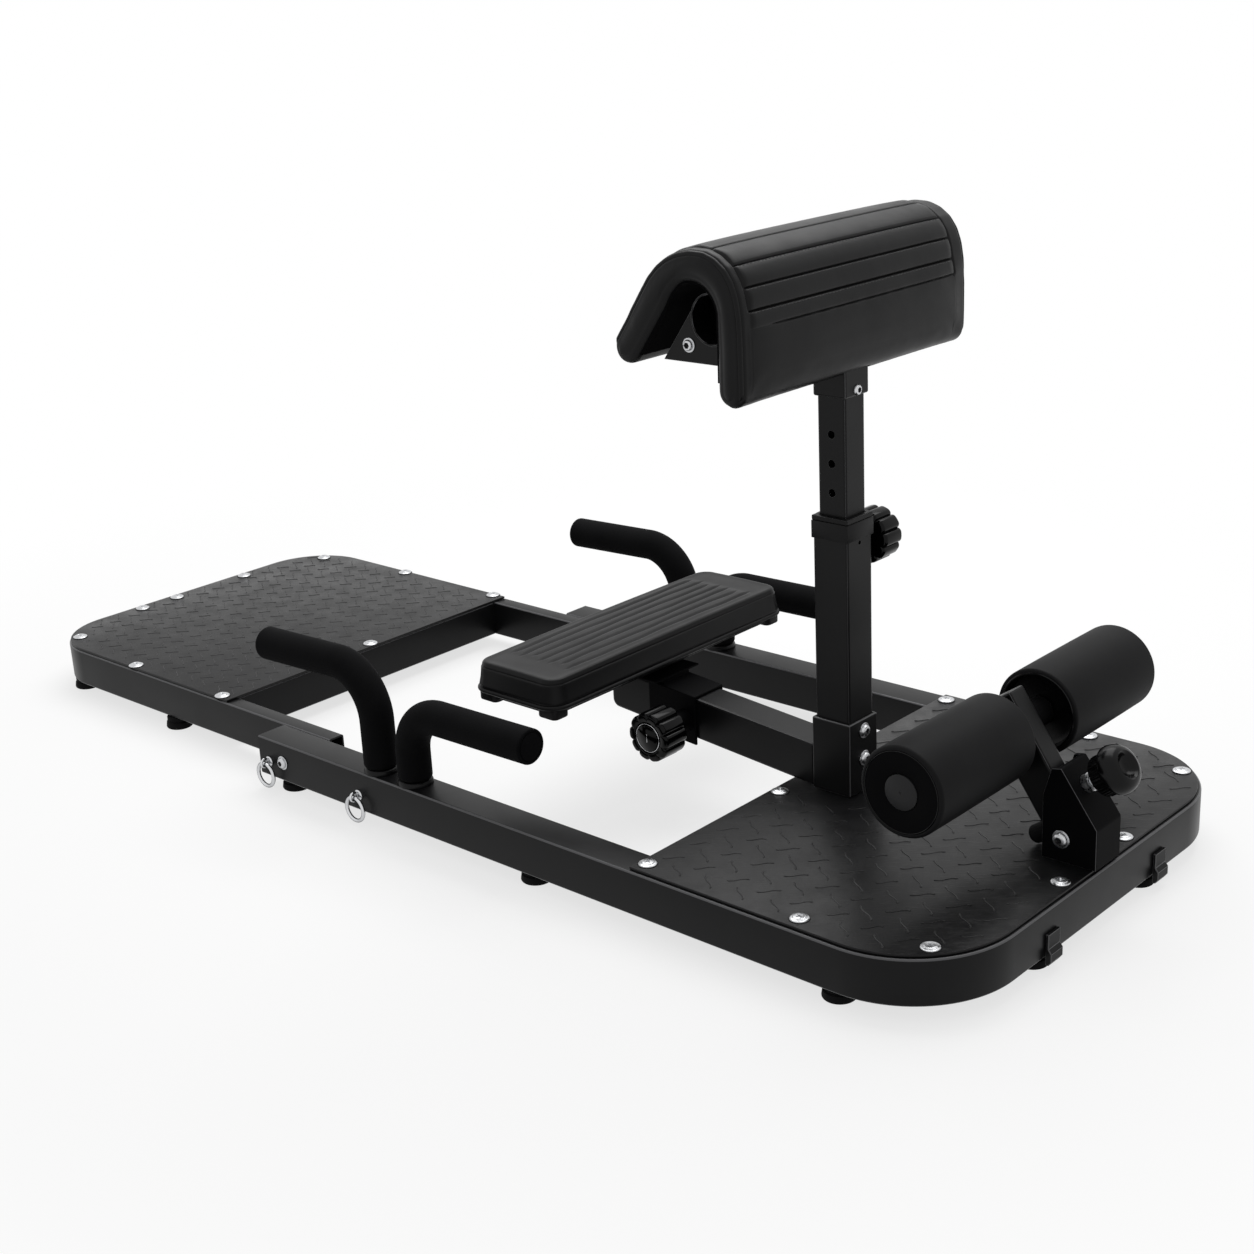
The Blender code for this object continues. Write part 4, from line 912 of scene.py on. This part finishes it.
def ribs(turn, r, z):
    """Fine ribs round the knob's narrow back."""
    if r > 0.015 and ARM_KNOB_LOW + 0.002 < z < ARM_KNOB_HIGH - 0.019:
        return -RIB_DEPTH * (0.5 - 0.5 * math.cos(ARM_KNOB_RIBS * turn))
    return 0.0


profile = mm(
    (0, -8.5), (5.2, -8.5), (6.2, -7.8), (9, -6.2), (10.8, -3), (12.2, -0.8), (13.7, 0), (16, -0.6), (18.8, -2.4),
    (21.2, -5.5), (22.7, -9), (23.5, -12.5), (23.5, -15), (22.6, -16.8), (20.2, -18), (19.5, -19), (19.5, -19.5),
    at=ARM_KNOB_HIGH,
)
profile += mm((19.5, 2.2), (18.9, 1.2), (17.5, 0), (5.6, 0), at=ARM_KNOB_LOW)
knob = stood(turned(profile, 216, ribs), plate_point, out)
piece("arm_knob_grip", knob, phenolic, "arm_set_knob", ["arm_knob"], 40)

# Plated sleeve over the nut that carries the arm's stud
nut = turned(mm((5.6, 0.4), (5.6, 6.4), (8, 6.4), (8.9, 6), (8.9, 0.4)), 48, closed=True)
piece("arm_lock_nut", stood(nut, plate_point, out), zinc, "fixed_frame", sharp=30)


# Rollers: a foam shell with a sunk face, a lip and a plug at the outer end, and a dished cap at the inner end
def roller_shell():
    outer, inner = ROLLER_Y[1] - 0.0006, ROLLER_Y[0]
    profile = mm((15.4, -3), (37.6, -3), (37.8, -0.6), (38.2, -0.1), at=outer)
    profile += arc(ROLLER_R - 0.0036, outer - 0.0036, 0.0036, 84, 0, 8) + mm((0.2, 140), (0.2, 80), out=ROLLER_R)
    profile += arc(ROLLER_R - 0.0025, inner + 0.0025, 0.0025, 0, -90, 5)
    profile += mm((37.2, 0), (36.6, 0.6), (35.2, 8.5), (31, 9), (8.6, 9), at=inner) + mm((8.6, 175), (15.4, 175))
    return turned(profile, 96, closed=True)


def roller_cap():
    inner, outer = ROLLER_Y
    lip = mm((36.6, -1), (36.7, -0.5), (37.1, -0.2), (37.5, -0.5), (37.7, -1.2), (37.6, -3.4), (36.6, -3.4), at=outer)
    dish = mm((9, 8), (30, 8), (33.8, 7), (35.2, 3), (35.8, 0.2), (36.6, -0.7), (37.8, -0.8), (38.4, -0.2),
              (38.2, 0.8), (36.6, 1.4), (35.4, 8.8), (9, 8.8), at=inner)
    return together(turned(lip, 96, closed=True), turned(dish, 96, closed=True))


for word, side in SIDES:
    place, axis, body = (AXLE[0], 0, AXLE[1]), (0, side, 0), word + "_roller"
    shell = stood(roller_shell(), place, axis)
    roll = piece("roller_foam_" + word, shell, roller_foam, body, ["roller_" + word], 35)
    face = mm((16.6, -2.4), (16.9, -1.2), (17.4, -0.9), (36.8, -0.9), (36.8, -3.4), (16.6, -3.4), at=ROLLER_Y[1])
    face = stood(turned(face, 96, closed=True), place, axis)
    # The sunk face takes the darker cap plastic: painted shade
    piece("roller_faces_" + word, face, shaded_cap_face, body)
    piece("roller_caps_" + word, stood(roller_cap(), place, axis), cap_plastic, body)
    plug = mm((0, -0.9), (0.9, -0.7), (1.3, -0.1), (15.6, -0.1), (16.3, -0.6), (16.4, -4), (0, -4), at=ROLLER_Y[1])
    piece("roller_plug_" + word, stood(turned(plug, 64), place, axis), plug_plastic, body)


# Seat pad: moulded skin with lengthwise grooves in a crowned top
GROOVES = 7
GROOVE_PITCH = 0.0133
GROOVE_DEPTH = 0.0019
GROOVE_END = 0.145
SEAT_CORNER = 0.020
SEAT_DRAFT = 0.006
SEAT_EDGE = 0.0042
SEAT_MIDDLE = (SEAT_X[0] + SEAT_X[1]) / 2
SEAT_COLUMNS, SEAT_ROWS = 170, 130
# Ways out, as shares of the draft, and down, as shares of the height, from the top's rim to the underside
SEAT_SIDE = ((0.02, 0.01), (-0.04, 0.03), (-0.02, 0.05), (0.12, 0.06), (0.18, 0.08), (0.20, 0.11), (0.24, 0.20),
             (0.40, 0.48), (0.62, 0.70), (0.72, 0.80), (0.66, 0.82), (0.66, 0.84), (0.86, 0.86), (0.97, 0.89),
             (1.0, 0.93), (0.97, 0.97), (0.86, 1.0))


def corner_mapped(u, v, half_x, half_y, radius):
    """A rectangle's point moved so that its corners come out round."""
    over_x, over_y = abs(u) - (half_x - radius), abs(v) - (half_y - radius)
    if over_x <= 0 or over_y <= 0:
        return u, v
    a, b = over_x / radius, over_y / radius
    x = half_x - radius + radius * a * math.sqrt(1 - b * b / 2)
    y = half_y - radius + radius * b * math.sqrt(1 - a * a / 2)
    return math.copysign(x, u), math.copysign(y, v)


def rim_distance(x, y, half_x, half_y, radius):
    """How far a point lies inside a rounded rectangle's edge."""
    over_x, over_y = abs(x) - (half_x - radius), abs(y) - (half_y - radius)
    outside = math.hypot(max(over_x, 0), max(over_y, 0))
    return radius - outside - min(max(over_x, over_y), 0)


def smoothstep(value, low, high):
    share = max(0.0, min(1.0, (value - low) / (high - low)))
    return share * share * (3 - 2 * share)


def seat_height(x, y, half_x, half_y):
    """The seat's top: rolled rim, slight crown, and soft ribs parted by grooves that run out at both ends."""
    rim = rim_distance(x, y, half_x, half_y, SEAT_CORNER - SEAT_DRAFT / 2)
    fall = max(0.0, 1 - rim / SEAT_EDGE)
    height = SEAT_HIGH - SEAT_EDGE * (1 - math.sqrt(max(0.0, 1 - fall ** 2)))
    height -= 0.0010 * (abs(y) / half_y) ** 2 + 0.0006 * (abs(x) / half_x) ** 2
    cut = 0.0
    for k in range(GROOVES):
        middle = (k - (GROOVES - 1) / 2) * GROOVE_PITCH
        drift = 0.0007 * math.sin(y * 38 + 1.7 * k) + 0.0004 * math.sin(y * 95 + 2.9 * k)
        run_out = smoothstep(GROOVE_END + 0.004 * math.sin(2.3 * k) - abs(y), 0.0, 0.012)
        narrow = 0.0012 + 0.0010 * run_out
        cut += GROOVE_DEPTH * run_out * math.exp(-((x - middle - drift) / narrow) ** 2)
    panel = smoothstep(rim_distance(x, y, GROOVE_PITCH * GROOVES / 2 + 0.004, GROOVE_END, 0.01), -0.002, 0.008)
    return height - cut - 0.0006 * (1 - panel) * smoothstep(rim, 0.0, 0.012)


def closer_at_ends(half, count):
    """Places from -half to half, closer together near both ends."""
    places = []
    for i in range(count + 1):
        share = 2 * i / count - 1
        left = 1 - abs(share)
        places.append(math.copysign(half * (1 - left * (0.45 + 0.55 * math.sqrt(left))), share))
    return places


def seat_skin_mesh():
    half_x = (SEAT_X[1] - SEAT_X[0]) / 2 - SEAT_DRAFT
    half_y = SEAT_HALF - SEAT_DRAFT
    radius = SEAT_CORNER - SEAT_DRAFT / 2
    columns = [half_x * (2 * i / SEAT_COLUMNS - 1) for i in range(SEAT_COLUMNS + 1)]
    rows = closer_at_ends(half_y, SEAT_ROWS)
    bm = bmesh.new()
    grid = []
    for u in columns:
        row = []
        for v in rows:
            x, y = corner_mapped(u, v, half_x, half_y, radius)
            row.append(bm.verts.new((SEAT_MIDDLE + x, y, seat_height(x, y, half_x, half_y))))
        grid.append(row)
    for first, second in zip(grid, grid[1:]):
        for j in range(len(first) - 1):
            bm.faces.new((first[j], second[j], second[j + 1], first[j + 1]))
    rim = [row[0] for row in grid[:-1]] + grid[-1][:-1]
    rim += [row[-1] for row in grid[:0:-1]] + grid[0][:0:-1]
    top = min(v.co.z for v in rim)
    rings = [rim]
    for spread, fall in SEAT_SIDE:
        ring = []
        for vert in rim:
            x, y = vert.co.x - SEAT_MIDDLE, vert.co.y
            nearest = (max(radius - half_x, min(half_x - radius, x)), max(radius - half_y, min(half_y - radius, y)))
            shift = Vector((x - nearest[0], y - nearest[1])).normalized() * SEAT_DRAFT * spread
            ring.append(bm.verts.new((vert.co.x + shift.x, y + shift.y, top + (SEAT_LOW - top) * fall)))
        rings.append(ring)
    ring_stack(bm, rings, cap=False)
    bm.faces.new(rings[-1])
    return faced(bm)


# Moulded tray under the seat, with a lug at each corner and a riser down to the saddle
TRAY_INSET, TRAY_THICK = 0.0095, 0.0070
LUG_MARGIN, LUG_LENGTH, LUG_WIDTH = 0.0035, 0.026, 0.022
LUG_LOW = 0.1392
RISER_LENGTH, RISER_WIDTH = 0.0445, 0.080


def seat_tray():
    def plate(x, y, length, width, low, high, radius, bevel):
        return slab(rounded_rectangle(x, y, x + length, y + width, radius, 6), low, high, bevel)

    low, high = SEAT_LOW - TRAY_THICK, SEAT_LOW + 0.002
    length, width = SEAT_X[1] - SEAT_X[0] - 2 * TRAY_INSET, 2 * (SEAT_HALF - TRAY_INSET)
    parts = [plate(SEAT_X[0] + TRAY_INSET, -width / 2, length, width, low, high, 0.014, 0.0012)]
    margin = SEAT_DRAFT / 2 + LUG_MARGIN
    for x in (SEAT_X[0] + margin, SEAT_X[1] - margin - LUG_LENGTH):
        for y in (margin - SEAT_HALF, SEAT_HALF - margin - LUG_WIDTH):
            parts.append(plate(x, y, LUG_LENGTH, LUG_WIDTH, LUG_LOW, high, 0.006, 0.0016))
    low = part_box("seat_saddle")[1][2] + GAP
    x, y = SEAT_MIDDLE - RISER_LENGTH / 2, -RISER_WIDTH / 2
    parts.append(plate(x, y, RISER_LENGTH, RISER_WIDTH, low, SEAT_LOW, 0.004, 0.001))
    return together(*parts)


piece("seat_tray", seat_tray(), abs_plastic, "seat_carriage", ["seat_base"], 35)
seat_pad = piece("seat_skin", seat_skin_mesh(), seat_skin, "seat_carriage", ["seat_pad"], 60)


# Hip pad: a thick arch drawn as an outer and an inner line, both from the rear leg's tip to the front leg's
PAD_EDGE = 0.010
PAD_STEP = 0.0032
PAD_SEAMS = ((-0.0670, 0.0340), (-0.0500, 0.0500), (-0.0270, 0.0603), (0.0010, 0.0622), (0.0255, 0.0490),
             (0.0368, 0.0300), (0.0415, 0.0100), (0.0427, -0.0050))
PAD_CROWN = ((-0.0650, 0.0365), (-0.0550, 0.0465), (-0.0440, 0.0540), (-0.0310, 0.0595), (-0.0150, 0.0628),
             (0.0010, 0.0622), (0.0140, 0.0575), (0.0255, 0.0490), (0.0340, 0.0375), (0.0393, 0.0235),
             (0.0421, 0.0065), (0.0430, -0.0150))
REAR_LEG, REAR_LEG_R = (-0.0913, -0.0300), 0.018
FRONT_LEG, FRONT_LEG_R, FRONT_LEG_INNER_R = (0.0256, -0.0586), 0.0174, 0.0164
PANEL_Y = (-0.160, 0.150)
SEAM_DEPTH = 0.0015
SEAM_WIDTH = 0.0011
CHANNEL_PUFF = 0.0017
COVER_CROWN = 0.0016
CORD_R = 0.0026
CORD_DIP = 0.0016
THREAD_R = 0.0004
STITCH = 0.0045
STUFFING_CAP = 0.0045
# Simulation: grain of the mesh, frames, reach of glue and seams, and how far the cover sinks before it swells
CLOTH_GRAIN = 0.005
CLOTH_FRAMES = 20
GLUE_REACH = 0.004
COVER_SINK = 0.0022


def running_lengths(points):
    lengths = [0.0]
    for a, b in zip(points, points[1:]):
        lengths.append(lengths[-1] + math.dist(a, b))
    return lengths


def along_line(points, lengths, reach):
    """The point at a distance along the line."""
    at = 0
    while at < len(lengths) - 2 and lengths[at + 1] < reach:
        at += 1
    share = (reach - lengths[at]) / max(lengths[at + 1] - lengths[at], 1e-9)
    return tuple(a + (b - a) * share for a, b in zip(points[at], points[at + 1]))


def softened(points, reach):
    """A closed line with its kinks averaged away."""
    count = len(points)
    result = []
    for i in range(count):
        window = [points[(i + k) % count] for k in range(-reach, reach + 1)]
        result.append(tuple(sum(values) / len(window) for values in zip(*window)))
    return result


def beside_seams(places, seams, clear, offsets):
    """Even places without those too near a seam, and places beside each seam instead."""
    kept = [p for p in places if all(abs(p - seam) > clear for seam in seams)]
    kept += [seam + side * off for seam in seams for side in (-1, 1) for off in offsets]
    return sorted(set(round(p, 6) for p in kept))


def nearest_index(points, target):
    return min(range(len(points)), key=lambda i: math.dist(points[i], target))


def nearest_place(reach):
    return min(range(len(pad_places)), key=lambda i: abs(pad_places[i] - reach))


def pad_outline():
    """Both lines in the same number of steps, as (x, z) from the tube's centre, and the outer one's lengths."""
    outer = arc(*REAR_LEG, REAR_LEG_R, 234, 144, 12) + list(PAD_CROWN) + arc(*FRONT_LEG, FRONT_LEG_R, 0, -90, 12)
    inner = arc(*REAR_LEG, REAR_LEG_R, 234, 324, 12) + [(-0.0430, 0.0059), (-0.0360, 0.0180)]
    inner += arc(-0.0155, 0.0042, 0.0262, 112, -8, 14) + [(0.0109, -0.0200)]
    inner += arc(FRONT_LEG[0] + 0.0010, FRONT_LEG[1], FRONT_LEG_INNER_R, -180, -90, 12)
    tips = outer[0], outer[-1]
    whole = outer + inner[-2:0:-1] + outer[:1]
    lengths = running_lengths(whole)
    count = round(lengths[-1] / 0.0006)
    even = [along_line(whole, lengths, lengths[-1] * i / count) for i in range(count)]
    fine = softened(softened(even, 4), 4)
    start, split = [nearest_index(fine, tip) for tip in tips]
    from_tip = fine[start:] + fine[:start]
    middle = (split - start) % len(fine)
    outer, inner = from_tip[:middle + 1], from_tip[:1] + from_tip[:middle - 1:-1]
    lengths, inner_lengths = running_lengths(outer), running_lengths(inner)
    seams = [lengths[nearest_index(outer, seam)] for seam in PAD_SEAMS]
    steps = round(lengths[-1] / PAD_STEP)
    places = [lengths[-1] * i / steps for i in range(steps + 1)]
    places = beside_seams(places, seams, 0.0042, (0, 0.0006, 0.0012, 0.002, 0.003))
    inner_scale = inner_lengths[-1] / lengths[-1]
    outer_points = [along_line(outer, lengths, p) for p in places]
    inner_points = [along_line(inner, inner_lengths, p * inner_scale) for p in places]
    return outer_points, inner_points, places, seams


pad_outer, pad_inner, pad_places, pad_seams = pad_outline()


def on_tube(x, y, z):
    """A point of the pad's outline set round the tube's centre."""
    return Vector((TUBE_CENTRE[0] + x, y, TUBE_CENTRE[1] + z))


def outward(before, after):
    """The direction off the outline between two of its points."""
    return Vector((before[1] - after[1], 0, after[0] - before[0])).normalized()


def pad_relief(reach, y):
    """How far the sewn cover stands off the plain arch, at a length along the arch and a place across it."""
    height = COVER_CROWN * (1 - (y / PAD_HALF) ** 4)
    low, high = PANEL_Y
    across = smoothstep(y, low, low + 0.004) * smoothstep(high - y, 0, 0.004)
    for first, second in zip(pad_seams, pad_seams[1:]):
        if first < reach < second:
            share = 2 * (reach - first) / (second - first) - 1
            height += CHANNEL_PUFF * (1 - share * share) ** 0.8 * across
    for seam in pad_seams:
        strength = smoothstep(y, low, low + 0.0015) * smoothstep(high - y, 0, 0.0015)
        if seam == pad_seams[-1]:
            strength = smoothstep(y, low + 0.004, low + 0.05) * smoothstep(high - y, 0, 0.0015)
        height -= SEAM_DEPTH * strength * math.exp(-((reach - seam) / SEAM_WIDTH) ** 2)
    for edge, last in ((low, pad_seams[-2]), (high, pad_seams[-1])):
        if pad_seams[0] < reach < last:
            height -= SEAM_DEPTH * math.exp(-((y - edge) / SEAM_WIDTH) ** 2)
    return height


def pad_rows():
    """Rows across the pad as (place, turn round the edge in degrees): closer where seams run."""
    flat = PAD_HALF - PAD_EDGE
    middle = [-flat + 2 * flat * i / 52 for i in range(1, 52)]
    middle = beside_seams(middle, PANEL_Y, 0.0045, (0, 0.0007, 0.0014, 0.0022, 0.0032))
    near = [(-flat, turn) for turn in range(-90, 1, 6)]
    far = [(flat, turn) for turn in range(0, 91, 6)]
    return near + [(y, 0) for y in middle] + far


def pad_mesh(plump):
    """The whole cover; plump gives how far stuffing pushes a point out."""
    outline = pad_outer + pad_inner[-2:0:-1]
    count, last = len(outline), len(pad_outer) - 1
    normals = [outward(outline[i - 1], outline[(i + 1) % count]) for i in range(count)]
    bm = bmesh.new()
    rings = []
    for y, degrees in pad_rows():
        turn = math.radians(degrees)
        ring = []
        for i, ((x, z), normal) in enumerate(zip(outline, normals)):
            base = on_tube(x, y, z)
            lift = plump(base, normal)
            if i <= last:
                ends = smoothstep(min(i, last - i), 0, 8)
                lift += pad_relief(pad_places[i], y) * ends
                lift -= CORD_DIP * math.exp(-((abs(degrees) - 45) / 22) ** 2) * ends
            radius = PAD_EDGE + lift
            here = base + normal * (radius * math.cos(turn) - PAD_EDGE)
            here.y += radius * math.sin(turn)
            ring.append(bm.verts.new(here))
        rings.append(ring)
    ring_stack(bm, rings, cap=False)
    for ring, side in ((rings[0], -1), (rings[-1], 1)):
        columns = []
        for i in range(1, last):
            outer_vert, inner_vert = ring[i], ring[count - i]
            column = [outer_vert]
            for share in (0.15, 0.35, 0.6, 0.85):
                place = outer_vert.co.lerp(inner_vert.co, share)
                place.y += side * 0.0016 * 4 * share * (1 - share)
                column.append(bm.verts.new(place))
            columns.append(column + [inner_vert])
        for first, second in zip(columns, columns[1:]):
            for k in range(len(first) - 1):
                bm.faces.new((first[k], first[k + 1], second[k + 1], second[k]))
        for column, tip in ((columns[0], ring[0]), (columns[-1], ring[last])):
            for k in range(len(column) - 1):
                bm.faces.new((column[k], column[k + 1], tip))
    return faced(bm)


def edge_cord(side):
    """The welt cord sewn into the edge between an end face and the outer cover."""
    line = []
    edge_y = side * (PAD_HALF - PAD_EDGE)
    for i in range(2, len(pad_outer) - 2):
        normal = outward(pad_outer[i - 1], pad_outer[i + 1])
        sink = 0.004 * (1 - smoothstep(min(i - 2, len(pad_outer) - 3 - i), 0, 7))
        x, z = pad_outer[i]
        radius = PAD_EDGE - CORD_DIP - sink + plump(on_tube(x, edge_y, z), normal)
        here = on_tube(x, 0, z) + normal * (radius * math.sqrt(0.5) - PAD_EDGE)
        here.y = edge_y + side * radius * math.sqrt(0.5)
        line.append(tuple(here))
    return swept(line, circle(CORD_R, 14), (0, 1, 0))


def stitches(bm, start, end, normal):
    """Thread laid in short dashes from one point to another."""
    along = (end - start).normalized()
    side = along.cross(normal).normalized()
    for i in range(int((end - start).length / STITCH)):
        levels = []
        for share, size in ((0.05, 0.3), (0.2, 1), (0.65, 1), (0.8, 0.3)):
            here = start + along * (i + share) * STITCH
            levels.append([bm.verts.new(here + (side * a + normal * b) * size) for a, b in circle(THREAD_R, 6)])
        ring_stack(bm, levels)


def stuffing():
    """Cloth simulation: pressure swells a coarse copy of the arch, held where it is glued to its board inside."""
    stuffed = shown("stuffed_arch", settled(pad_mesh(lambda base, normal: -0.002)))
    modify(stuffed, "even", "REMESH", mode="VOXEL", voxel_size=CLOTH_GRAIN)
    shape = bpy.data.meshes.new_from_object(evaluated(stuffed))
    stuffed.modifiers.clear()
    stuffed.data = shape
    starts = [v.co.copy() for v in shape.vertices]
    glued = stuffed.vertex_groups.new(name="glued")
    board = [on_tube(x, 0, z).xz for x, z in pad_inner[6:-6]]
    seams = [pad_outer[nearest_place(seam)] for seam in pad_seams[::3]]
    sewn = [on_tube(x, 0, z).xz for x, z in seams]
    for i, start in enumerate(starts):
        flat = start.xz
        if min((flat - point).length for point in board) < GLUE_REACH:
            glued.add([i], 1.0, "REPLACE")
        elif abs(start.y) < PANEL_Y[1] and min((flat - point).length for point in sewn) < GLUE_REACH:
            glued.add([i], 0.6, "REPLACE")
    cloth = stuffed.modifiers.new("stuffing", "CLOTH").settings
    cloth.quality, cloth.mass = 5, 0.3
    cloth.tension_stiffness = cloth.compression_stiffness = 12
    cloth.bending_stiffness = 2.0
    cloth.use_pressure, cloth.uniform_pressure_force = True, 4
    cloth.vertex_group_mass = "glued"
    cloth.effector_weights.gravity = 0
    for step in range(1, CLOTH_FRAMES + 1):
        bpy.context.scene.frame_set(step)
    moves = [v.co - start for v, start in zip(evaluated(stuffed).data.vertices, starts)]
    tree = KDTree(len(starts))
    for i, start in enumerate(starts):
        tree.insert(start, i)
    tree.balance()
    bpy.data.objects.remove(stuffed)
    bpy.context.scene.frame_set(1)

    def plump(base, normal):
        near = tree.find_n(base, 6)
        weights = [1 / (distance + 0.001) for _, _, distance in near]
        move = sum((moves[i] * w for (_, i, _), w in zip(near, weights)), Vector()) / sum(weights)
        return max(-0.001, min(STUFFING_CAP, move.dot(normal))) - COVER_SINK

    return plump


def collar_notch():
    """The room that the cover and its backing leave for the collar on the post."""
    return post_block(-0.0002, 0.40, 0.5432, 0.001)


plump = stuffing()
cover = carved(pad_mesh(plump), collar_notch())
pad = piece("hip_pad_cover", cover, leather, "hip_pad_post", ["arch_pad"], 60)
cords = piece("hip_pad_welts", together(edge_cord(-1), edge_cord(1)), leather, "hip_pad_post")

# Dark backing over the board inside the arch, which faces down: painted shade
backing = pad_inner[12:-12]
sides = []
for depth in (0.0014, 0.0044):
    sides.append([
        on_tube(here[0], 0, here[1]) + outward(before, after) * depth
        for before, here, after in zip(backing, backing[1:], backing[2:])
    ])
lining = bmesh.new()
rings = []
for y in (-PAD_HALF + 0.006, PAD_HALF - 0.006):
    rings.append([lining.verts.new((point.x, y, point.z)) for point in sides[0] + sides[1][::-1]])
bridge(lining, *rings)
for ring in rings:
    for k in range(len(ring) // 2 - 1):
        lining.faces.new((ring[k], ring[k + 1], ring[-k - 2], ring[-k - 1]))
backing = carved(faced(lining), collar_notch())
piece("hip_pad_shade_lining", backing, shade_lining_cloth, "hip_pad_post", sharp=50)

# Thread beside each seam but the last, following the stuffed cover
thread_mesh = bmesh.new()
for seam in pad_seams[:-1]:
    at = nearest_place(seam + 0.0019)
    normal = outward(pad_outer[at - 1], pad_outer[at + 1])
    line = []
    for k in range(31):
        y = PANEL_Y[0] + 0.005 + (PANEL_Y[1] - PANEL_Y[0] - 0.010) * k / 30
        base = on_tube(pad_outer[at][0], y, pad_outer[at][1])
        line.append(base + normal * (plump(base, normal) + pad_relief(pad_places[at], base.y) - 0.0001))
    for start, end in zip(line, line[1:]):
        stitches(thread_mesh, start, end, normal)
piece("hip_pad_stitches", faced(thread_mesh), thread, "hip_pad_post")


# Studio: pale floor, white surroundings, soft light and the photograph's camera
def seen_directly(material):
    """1 for what the camera sees, straight or in metal or glass, and 0 for light that bounces."""
    rays = add(material, "LightPath").outputs
    either = add(material, "Math", {0: rays["Is Camera Ray"], 1: rays["Is Glossy Ray"]}, operation="MAXIMUM")
    return add(material, "Math", {0: either.outputs[0], 1: rays["Is Transmission Ray"]}, operation="MAXIMUM").outputs[0]


def studio():
    bm = bmesh.new()
    bmesh.ops.create_grid(bm, x_segments=1, y_segments=1, size=12)
    floor = shown("floor", settled(bm, "floor"))
    paint = finish("studio_floor", "fdfdfd", 0.9)
    shader = shader_of(paint)
    shader.inputs["Specular IOR Level"].default_value = 0.0
    where = add(paint, "TexCoord").outputs["Object"]
    far = add(paint, "VectorMath", {0: where}, operation="LENGTH").outputs["Value"]
    ends = {"From Min": 0.65, "From Max": 1.4, "To Min": 0.72}
    fade = add(paint, "MapRange", {"Value": far, **ends}, interpolation_type="SMOOTHSTEP")
    white = add(paint, "Emission", {"Strength": 1.0})
    pale = add(paint, "MixShader", {0: fade.outputs["Result"], 1: shader.outputs[0], 2: white.outputs[0]})
    grey = add(paint, "BsdfDiffuse", {"Color": linear("a0a0a0")})
    blend = add(paint, "MixShader", {0: seen_directly(paint), 1: grey.outputs[0], 2: pale.outputs[0]})
    paint.node_tree.links.new(blend.outputs[0], paint.node_tree.nodes["Material Output"].inputs["Surface"])
    floor.data.materials.append(paint)


def world():
    made = bpy.data.worlds.new("studio")
    bpy.context.scene.world = made
    made.use_nodes = True
    strength = add(made, "MapRange", {"Value": seen_directly(made), "To Min": 0.42, "To Max": 1.0})
    sky = made.node_tree.nodes["Background"]
    sky.inputs["Color"].default_value = (1, 1, 1, 1)
    made.node_tree.links.new(strength.outputs["Result"], sky.inputs["Strength"])


def lamp(name, place, target, size, power):
    light = bpy.data.lights.new(name, "AREA")
    light.shape = "RECTANGLE"
    light.size, light.size_y = size
    light.energy = power
    made = shown(name, light)
    made.location = place
    made.rotation_euler = (Vector(target) - Vector(place)).to_track_quat("-Z", "Y").to_euler()


studio()
world()
lamp("overhead", (-0.25, 0.75, 2.2), (0, 0, 0.1), (2.4, 1.8), 42)

# Camera solved from the photograph's straight edges
CAMERA_TURN = math.radians(43.11)
CAMERA_RISE = math.radians(19.47)
CAMERA_ROLL = math.radians(-2.962)
CAMERA_PLACE = (1.439 + DRAWING_X, -1.409, 0.855)
CAMERA_LENS = 54.82

camera = bpy.data.cameras.new("camera")
camera.lens = CAMERA_LENS
camera.sensor_width = 36.0
camera_object = shown("camera", camera)
matrix = Matrix.Translation(CAMERA_PLACE)
for turn, axis in ((CAMERA_TURN, "Z"), (math.pi / 2 - CAMERA_RISE, "X"), (CAMERA_ROLL, "Z")):
    matrix = matrix @ Matrix.Rotation(turn, 4, axis)
camera_object.matrix_world = matrix
bpy.context.scene.camera = camera_object
bpy.context.scene.view_settings.view_transform = "Standard"
